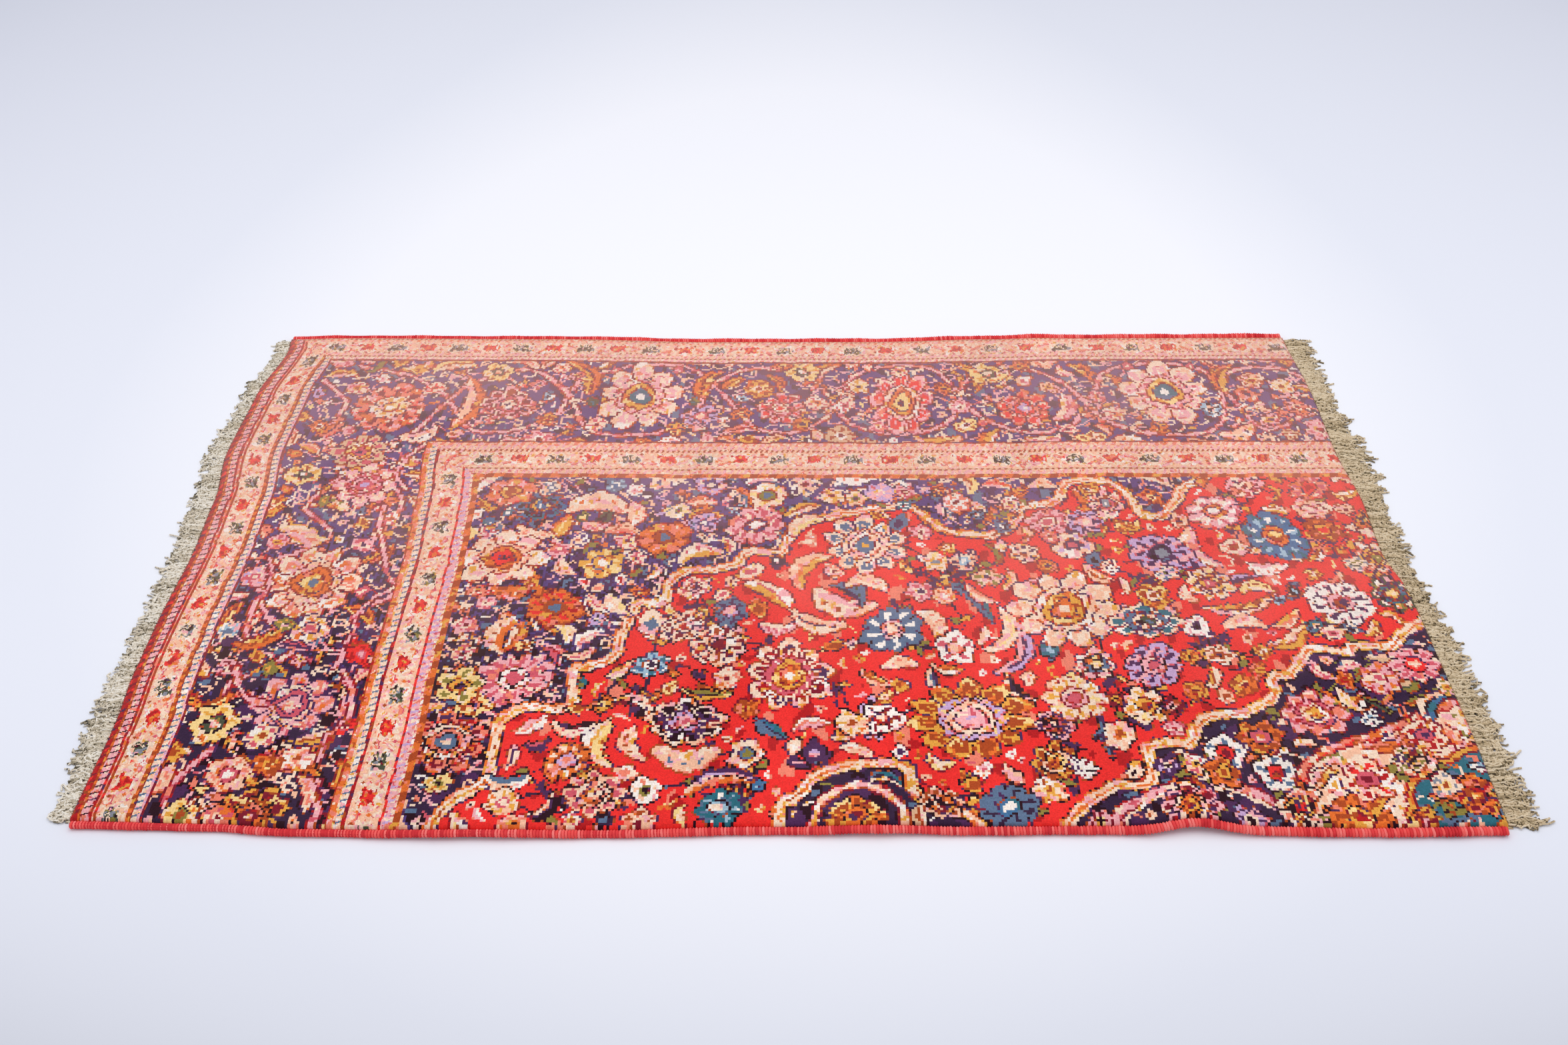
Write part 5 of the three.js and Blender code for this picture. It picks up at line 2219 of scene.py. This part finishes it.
@dataclass
class Selvedge:
    """One long edge: a cord overcast with wool, turn beside turn."""

    name: str
    side: int
    finish: YarnFinish
    pitch: float = 3.3
    yarn_radius: float = 1.7
    slant: float = 0.22
    seed: int = 5
    path_points: int = 240

    def path(self) -> bpy.types.Object:
        """Draws the cord's middle line along its edge of the cloth, drawn in a little at both ends.

        Returns:
            The line, with the cord's thickness at each point.
        """
        along = np.linspace(0.0, 1.0, self.path_points)
        x, y, lift = Outline.laid(along, np.full_like(along, 0.0 if self.side < 0 else 1.0))
        ends = SELVEDGE_HEIGHT * 0.4 * np.clip((np.abs(along - 0.5) - 0.499) / 0.001, 0, 1)
        size = self.size_along(along)
        line = np.column_stack([x - np.sign(along - 0.5) * ends,
                                y + self.side * (SEAM_GAP + SELVEDGE_WIDTH / 2 * size),
                                lift + SELVEDGE_HEIGHT / 2 * size])
        piece = new_piece(self.name, line * MM, [])
        first = np.arange(self.path_points - 1)
        piece.data.edges.add(len(first))
        piece.data.edges.foreach_set("vertices", np.stack([first, first + 1], -1).ravel())
        store(piece, "size", size)
        return piece

    def size_along(self, along: np.ndarray) -> np.ndarray:
        """Gives the cord's thickness along the edge, as a share: thin at the left and full at the right."""
        uneven = 0.03 * np.sin(along * 61) + 0.025 * np.sin(along * 143 + 2)
        return 0.72 + 0.2 * along + uneven

    def turns(self, growth: Growth, line: Socket, size: Socket) -> Socket:
        """Adds the nodes that set a turn of wool at each step along the cord, each leaning in its own way.

        Args:
            growth: The tree.
            line: The cord's middle line.
            size: The cord's thickness as a share.

        Returns:
            The turns.
        """
        g, given = growth.graph, growth.inputs
        steps = {"Curve": line, "Length": given["Pitch"]}
        points = g.node("GeometryNodeCurveToPoints", steps, mode="LENGTH").outputs
        index = g.out("GeometryNodeInputIndex")
        lot = {"ID": index, "Seed": given["Seed"]}
        tone = g.out("FunctionNodeRandomValue", lot, 1, data_type="FLOAT")
        toned = g.stored(points["Points"], "tone", tone)
        ring, yarn = g.circle(12, given["Turn radius"]), g.circle(5, given["Yarn radius"])
        turn = g.out("GeometryNodeCurveToMesh", {"Curve": ring, "Profile Curve": yarn})
        jitter = g.out("FunctionNodeRandomValue", {0: (-0.09, -0.09, -0.05), 1: (0.09, 0.09, 0.05), **lot},
                       data_type="FLOAT_VECTOR")
        lean = g.out("FunctionNodeEulerToRotation", {0: g.vector("ADD", g.xyz(given["Slant"]), jitter)})
        rotation = g.out("FunctionNodeRotateRotation", {0: points["Rotation"], 1: lean},
                         rotation_space="LOCAL")
        uneven = g.out("FunctionNodeRandomValue", {2: 0.93, 3: 1.04, "ID": index, "Seed": 3}, 1,
                       data_type="FLOAT")
        tall = g.math("MULTIPLY", uneven, size)
        scale = g.xyz(g.math("MULTIPLY", tall, given["Widening"]), tall, 1.0)
        return g.out("GeometryNodeInstanceOnPoints",
                     {"Points": toned, "Instance": turn, "Rotation": rotation, "Scale": scale})

    def core(self, growth: Growth, line: Socket, size: Socket) -> Socket:
        """Adds the nodes for the solid core under the turns.

        Args:
            growth: The tree.
            line: The cord's middle line.
            size: The cord's thickness as a share.

        Returns:
            The core.
        """
        g, given = growth.graph, growth.inputs
        section = g.out("GeometryNodeTransform", {"Geometry": g.circle(8, given["Turn radius"]),
                                                  "Scale": g.xyz(given["Widening"], 1.0, 1.0)})
        sized = g.out("GeometryNodeSetCurveRadius", {"Curve": line, "Radius": size})
        return g.out("GeometryNodeCurveToMesh", {"Curve": sized, "Profile Curve": section, "Fill Caps": True})

    def build(self) -> bpy.types.Object:
        """Builds the overcast cord.

        Returns:
            The cord.
        """
        turn_radius = SELVEDGE_HEIGHT / 2 - self.yarn_radius
        growth = Growth("overcast_turns", {
            "Pitch": self.pitch * MM,
            "Turn radius": turn_radius * MM,
            "Yarn radius": self.yarn_radius * MM,
            "Widening": (SELVEDGE_WIDTH / 2 - self.yarn_radius) / turn_radius,
            "Slant": self.slant,
            "Seed": self.seed,
            "Material": self.finish.material(),
        })
        g = growth.graph
        line = g.out("GeometryNodeMeshToCurve", {0: growth.inputs["Geometry"]})
        line = g.out("GeometryNodeSetCurveNormal", {0: line}, mode="Z_UP")
        size = g.named("size")
        joined = g.node("GeometryNodeJoinGeometry")
        for part in (self.core(growth, line, size), self.turns(growth, line, size)):
            g.link(part, joined, 0)
        growth.finish(joined.outputs[0])
        piece = self.path()
        growth.grow(piece)
        return piece


@dataclass
class Fringe:
    """One short end: the woven strip, and the loose warp ends that come out of it, gathered in tufts."""

    name: str
    side: int
    rows: list[EdgeRow]
    finish: YarnFinish
    tufts: int = 230
    strands: int = 430
    layers: int = 3
    steps: int = 11
    strand_radius: float = 1.15
    curl: float = 15.0
    lean: float = 5.0
    seed: int = 21
    strip_tone: float = 0.35

    def edge(self, across: np.ndarray) -> tuple[np.ndarray, np.ndarray]:
        """Gives the places of the cloth's short edge, X and Y in millimetres."""
        x, y, _ = Outline.laid(np.full_like(across, 0.0 if self.side < 0 else 1.0), across)
        return x, y

    def roots(self) -> bpy.types.Object:
        """Places a point for each strand, with its reach, its tone, darker on the lower layers as painted
        shade, and its layer.

        Returns:
            The points.
        """
        draw = np.random.default_rng(self.seed + self.side)
        total = self.strands * self.layers
        across = np.clip((np.arange(total) + draw.uniform(0, 1, total)) / total, 0.004, 0.996)
        x, y = self.edge(across)
        x = x + self.side * (SEAM_GAP + draw.uniform(0.3, 2.2, total))
        layer = np.arange(total) % self.layers
        height = 2.0 + layer * 0.75
        tuft = (across * self.tufts).astype(int)
        tuft_reach = draw.uniform(0.74, 1.1, self.tufts + 1)[tuft]
        tuft_tone = draw.uniform(-0.3, 0.3, self.tufts + 1)[tuft]
        reach = Outline.along(self.rows, "fringe", across) * draw.uniform(0.6, 1.04, total) * tuft_reach
        # The lower layers are darker: painted shade under the strands above them; the rest of the tone
        # differs at random by strand and by tuft
        tone = 0.1 + 0.2 * layer + 0.85 * draw.uniform(-0.4, 1, total) + tuft_tone
        piece = new_piece(self.name, np.column_stack([x, y, height]) * MM, [])
        for title, values in (("reach", reach * MM), ("tone", np.clip(tone, 0, 1)),
                              ("lane", draw.uniform(0, 100, total)), ("level", height * MM)):
            store(piece, title, values)
        return piece

    def curled(self, growth: Growth, share: Socket) -> Socket:
        """Adds the nodes that curl each strand in its own way, lean it with its neighbours and let it sink.

        Args:
            growth: The tree.
            share: How far along its strand a point is.

        Returns:
            The points' new places.
        """
        g, given = growth.graph, growth.inputs
        level = g.named("level")
        at = g.out("GeometryNodeInputPosition")
        lane, y = g.math("MULTIPLY", g.named("lane"), 3.1), g.math("MULTIPLY", g.parts(at)[1], 95.0)
        own = g.stray(g.xyz(lane, g.math("MULTIPLY", share, 3.2)), 1.0, 1.5)
        shared = g.stray(g.xyz(y, g.math("MULTIPLY", share, 1.3)), 1.0, 2.0)
        curl = g.math("MULTIPLY", g.math("MULTIPLY", share, 3.0), given["Curl"])
        lean = g.math("MULTIPLY", g.math("MULTIPLY", share, 4.0), given["Lean"])
        own = g.vector("MULTIPLY", own, g.xyz(curl, curl, g.math("MULTIPLY", curl, 0.4)))
        shared = g.vector("MULTIPLY", shared, g.xyz(lean, lean))
        x, y, z = g.parts(g.vector("ADD", at, g.vector("ADD", own, shared)))
        high, drop = g.math("MULTIPLY", level, 1.3), g.math("MULTIPLY", level, -0.75)
        ceiling = g.math("MULTIPLY_ADD", share, drop, high)
        z = g.math("MINIMUM", g.math("MAXIMUM", z, given["Strand radius"]), ceiling)
        return g.xyz(x, y, g.math("MAXIMUM", z, given["Strand radius"]))

    def strand_tree(self) -> Growth:
        """Builds the tree that grows a curling strand from each root.

        Returns:
            The tree.
        """
        growth = Growth("warp_ends", {
            "Side": float(self.side),
            "Curl": self.curl * MM,
            "Lean": self.lean * MM,
            "Strand radius": self.strand_radius * MM,
            "Steps": self.steps,
            "Material": self.finish.material(),
        })
        g, given = growth.graph, growth.inputs
        line = g.out("GeometryNodeCurvePrimitiveLine", {"Start": (0, 0, 0), "End": (1, 0, 0)})
        line = g.out("GeometryNodeResampleCurve", {"Curve": line, "Count": given["Steps"]})
        line = g.stored(line, "share", g.out("GeometryNodeSplineParameter", None, "Factor"))
        scale = g.xyz(g.math("MULTIPLY", g.named("reach"), given["Side"]), 1.0, 1.0)
        strands = g.out("GeometryNodeInstanceOnPoints",
                        {"Points": given["Geometry"], "Instance": line, "Scale": scale})
        strands = g.out("GeometryNodeRealizeInstances", {0: strands})
        share = g.named("share")
        places = self.curled(growth, share)
        strands = g.out("GeometryNodeSetPosition", {"Geometry": strands, "Position": places})
        thin = g.between(share, 0.0, 1.0, 1.15, 0.55)
        strands = g.out("GeometryNodeSetCurveRadius", {"Curve": strands, "Radius": thin})
        section = g.circle(4, given["Strand radius"])
        growth.finish(g.out("GeometryNodeCurveToMesh",
                            {"Curve": strands, "Profile Curve": section, "Fill Caps": True}))
        return growth

    def strip(self) -> bpy.types.Object:
        """Builds the woven strip between the pile and the loose ends.

        Returns:
            The strip.
        """
        x, y = self.edge(np.linspace(0, 1, 150))
        x = x + self.side * SEAM_GAP
        low = 0.45 * KILIM_END_HEIGHT
        section = [(0.0, 0.0), (KILIM_END_WIDTH, 0.0), (KILIM_END_WIDTH, 0.4 * low),
                   (0.6 * KILIM_END_WIDTH, 0.85 * low), (0.0, low)]
        rings = np.stack([np.column_stack([x + self.side * out, y, np.full_like(x, up)])
                          for out, up in section], 1)
        index = np.arange(len(x) * len(section)).reshape(len(x), len(section))
        a, b = index[:-1], index[1:]
        quads = np.stack([a, np.roll(a, -1, 1), np.roll(b, -1, 1), b], -1).reshape(-1, 4)
        quads = quads[:, ::-1] if self.side < 0 else quads
        ends = [index[0][::-self.side].tolist(), index[-1][::self.side].tolist()]
        return new_piece(f"{self.name}_strip", rings.reshape(-1, 3) * MM, [*quads.tolist(), *ends])

    def build(self) -> bpy.types.Object:
        """Builds the fringe as one piece.

        Returns:
            The fringe.
        """
        piece = self.roots()
        self.strand_tree().grow(piece)
        strip = self.strip()
        strip.data.materials.append(piece.data.materials[0])
        store(strip, "tone", np.full(len(strip.data.vertices), self.strip_tone))
        with bpy.context.temp_override(active_object=piece, selected_editable_objects=[piece, strip]):
            bpy.ops.object.join()
        return piece


@dataclass
class Studio:
    """A pale floor with a painted pool of light and painted shade, soft light from above and the camera."""

    camera_place: tuple[float, float, float] = (0.026, -1.4414, 1.2861)
    pitch: float = 40.92
    yaw: float = 1.18
    roll: float = -0.72
    lens: float = 35.0
    sensor: float = 36.0
    floor_size: float = 30.0
    surroundings: float = 0.63

    # The floor's painted light falloff: tones from its brightest place outwards, how many metres out they
    # end, and that place's Y
    FLOOR_LIGHT_FALLOFF = ((0.0, "f9f9fa"), (0.3, "f7f7f9"), (0.43, "eaecf2"), (0.75, "e8eaf1"), (1.0, "e0e3eb"))
    FLOOR_REACH, BRIGHTEST = 2.0, 0.35
    LIGHTS = (
        ("overhead", (0.0, 0.4, 2.6), 3.0, 38.0),
        ("from_left", (-2.6, -1.0, 1.8), 1.8, 9.0),
        ("from_right", (2.6, -0.6, 1.8), 1.8, 9.0),
    )

    def floor_colour(self, graph: Graph) -> Socket:
        """Adds the nodes for the floor's colour with painted light: a painted pool of light palest in the
        middle, and painted shade before the rug.

        Args:
            graph: The material's graph.

        Returns:
            The colour.
        """
        x, y, _ = graph.parts(graph.out("ShaderNodeTexCoord", None, "Object"))
        # Painted pool of light: the floor greys with distance from its brightest place, more slowly behind it
        far = graph.between(y, self.BRIGHTEST, 1.74, 0.8, 0.55)
        behind = graph.math("MULTIPLY", graph.math("SUBTRACT", y, self.BRIGHTEST), far)
        out = graph.xyz(graph.math("MULTIPLY", x, 0.87), behind)
        distance = graph.out("ShaderNodeVectorMath", {0: out}, 1, operation="LENGTH")
        colour = graph.ramp(graph.math("DIVIDE", distance, self.FLOOR_REACH), self.FLOOR_LIGHT_FALLOFF)
        # Painted shade on the floor before the rug's near edge, darker towards the near corners
        near = graph.math("POWER", graph.between(y, -0.05, -0.75, 0.0, 1.0), 4.0)
        near = graph.math("MULTIPLY", near, graph.between(y, -2.0, -0.8, 0.0, 1.0))
        side = graph.math("POWER", graph.between(graph.math("ABSOLUTE", x), 0.0, 0.85, 0.0, 1.2), 2.0)
        shade = graph.math("MULTIPLY", near, graph.math("MULTIPLY_ADD", side, 0.126, 0.128))
        left = graph.vector("SUBTRACT", (1, 1, 1), graph.xyz(shade, shade, shade))
        return graph.mix(1.0, colour, left, "MULTIPLY")

    def floor(self) -> None:
        """Lays the floor."""
        corners = np.array([[-1, -1, 0], [1, -1, 0], [1, 1, 0], [-1, 1, 0]]) * (self.floor_size / 2)
        floor = new_piece("studio_floor", corners, [[0, 1, 2, 3]])
        graph, shader, material = new_material("studio_floor", 0.7, 0.0, 0.5)
        graph.link(self.floor_colour(graph), shader, "Base Color")
        floor.data.materials.append(material)

    def light(self) -> None:
        """Hangs the soft lights and sets the pale surroundings."""
        world = bpy.data.worlds.new("studio")
        bpy.context.scene.world = world
        world.use_nodes = True
        background = world.node_tree.nodes["Background"]
        background.inputs[0].default_value = linear_colour("f1f3ff")
        background.inputs[1].default_value = self.surroundings
        for name, place, size, power in self.LIGHTS:
            lamp = bpy.data.lights.new(name, "AREA")
            lamp.shape = "SQUARE"
            lamp.size = size
            lamp.energy = power
            light = bpy.data.objects.new(name, lamp)
            light.location = place
            light.rotation_euler = (-Vector(place)).to_track_quat("-Z", "Y").to_euler()
            bpy.context.scene.collection.objects.link(light)

    def camera(self) -> None:
        """Sets the camera at the photograph's angle."""
        lens = bpy.data.cameras.new("camera")
        lens.lens = self.lens
        lens.sensor_width = self.sensor
        camera = bpy.data.objects.new("camera", lens)
        camera.location = self.camera_place
        turns = ((self.yaw, "Z"), (90 - self.pitch, "X"), (self.roll, "Z"))
        yaw, tilt, roll = (Matrix.Rotation(math.radians(angle), 3, axis) for angle, axis in turns)
        camera.rotation_euler = (yaw @ tilt @ roll).to_euler()
        bpy.context.scene.collection.objects.link(camera)
        bpy.context.scene.camera = camera

    def build(self) -> None:
        """Sets up floor, light, camera and the plain rendering of colour."""
        self.floor()
        self.light()
        self.camera()
        bpy.context.scene.view_settings.view_transform = "Standard"


def main() -> None:
    """Builds the rug and the studio round it."""
    logging.basicConfig(level=logging.INFO, format="%(name)s %(message)s")
    Studio().build()
    cloth = RugCloth(Design().weave()).build()
    dress(cloth, "pile_wool", "rug_body")
    wool = YarnFinish("overcast_wool", ("b42a32", "dc3c40", "f05450", "f66e68", "fb8e86"), grain=900.0,
                      sheen=0.0)
    cotton = YarnFinish("twisted_cotton", ("544c3e", "b6a98f", "dccfb8", "ebe1ce", "f7f1e4"), grain=1400.0,
                        sheen=0.05, right_cast="f0e4d0", strand_gap_shadow=0.55)
    edges = [
        (Selvedge("selvedge_near_overcast", -1, wool).build(), "selvedge_wool", "selvedge_near"),
        (Selvedge("selvedge_far_overcast", 1, wool).build(), "selvedge_wool", "selvedge_far"),
        (Fringe("fringe_left_strands", -1, LEFT_END, cotton).build(), "warp_cotton", "fringe_left"),
        (Fringe("fringe_right_strands", 1, RIGHT_END, cotton).build(), "warp_cotton", "fringe_right"),
    ]
    for piece, slot, node in edges:
        dress(piece, slot, node)


if __name__ == "__main__":
    main()
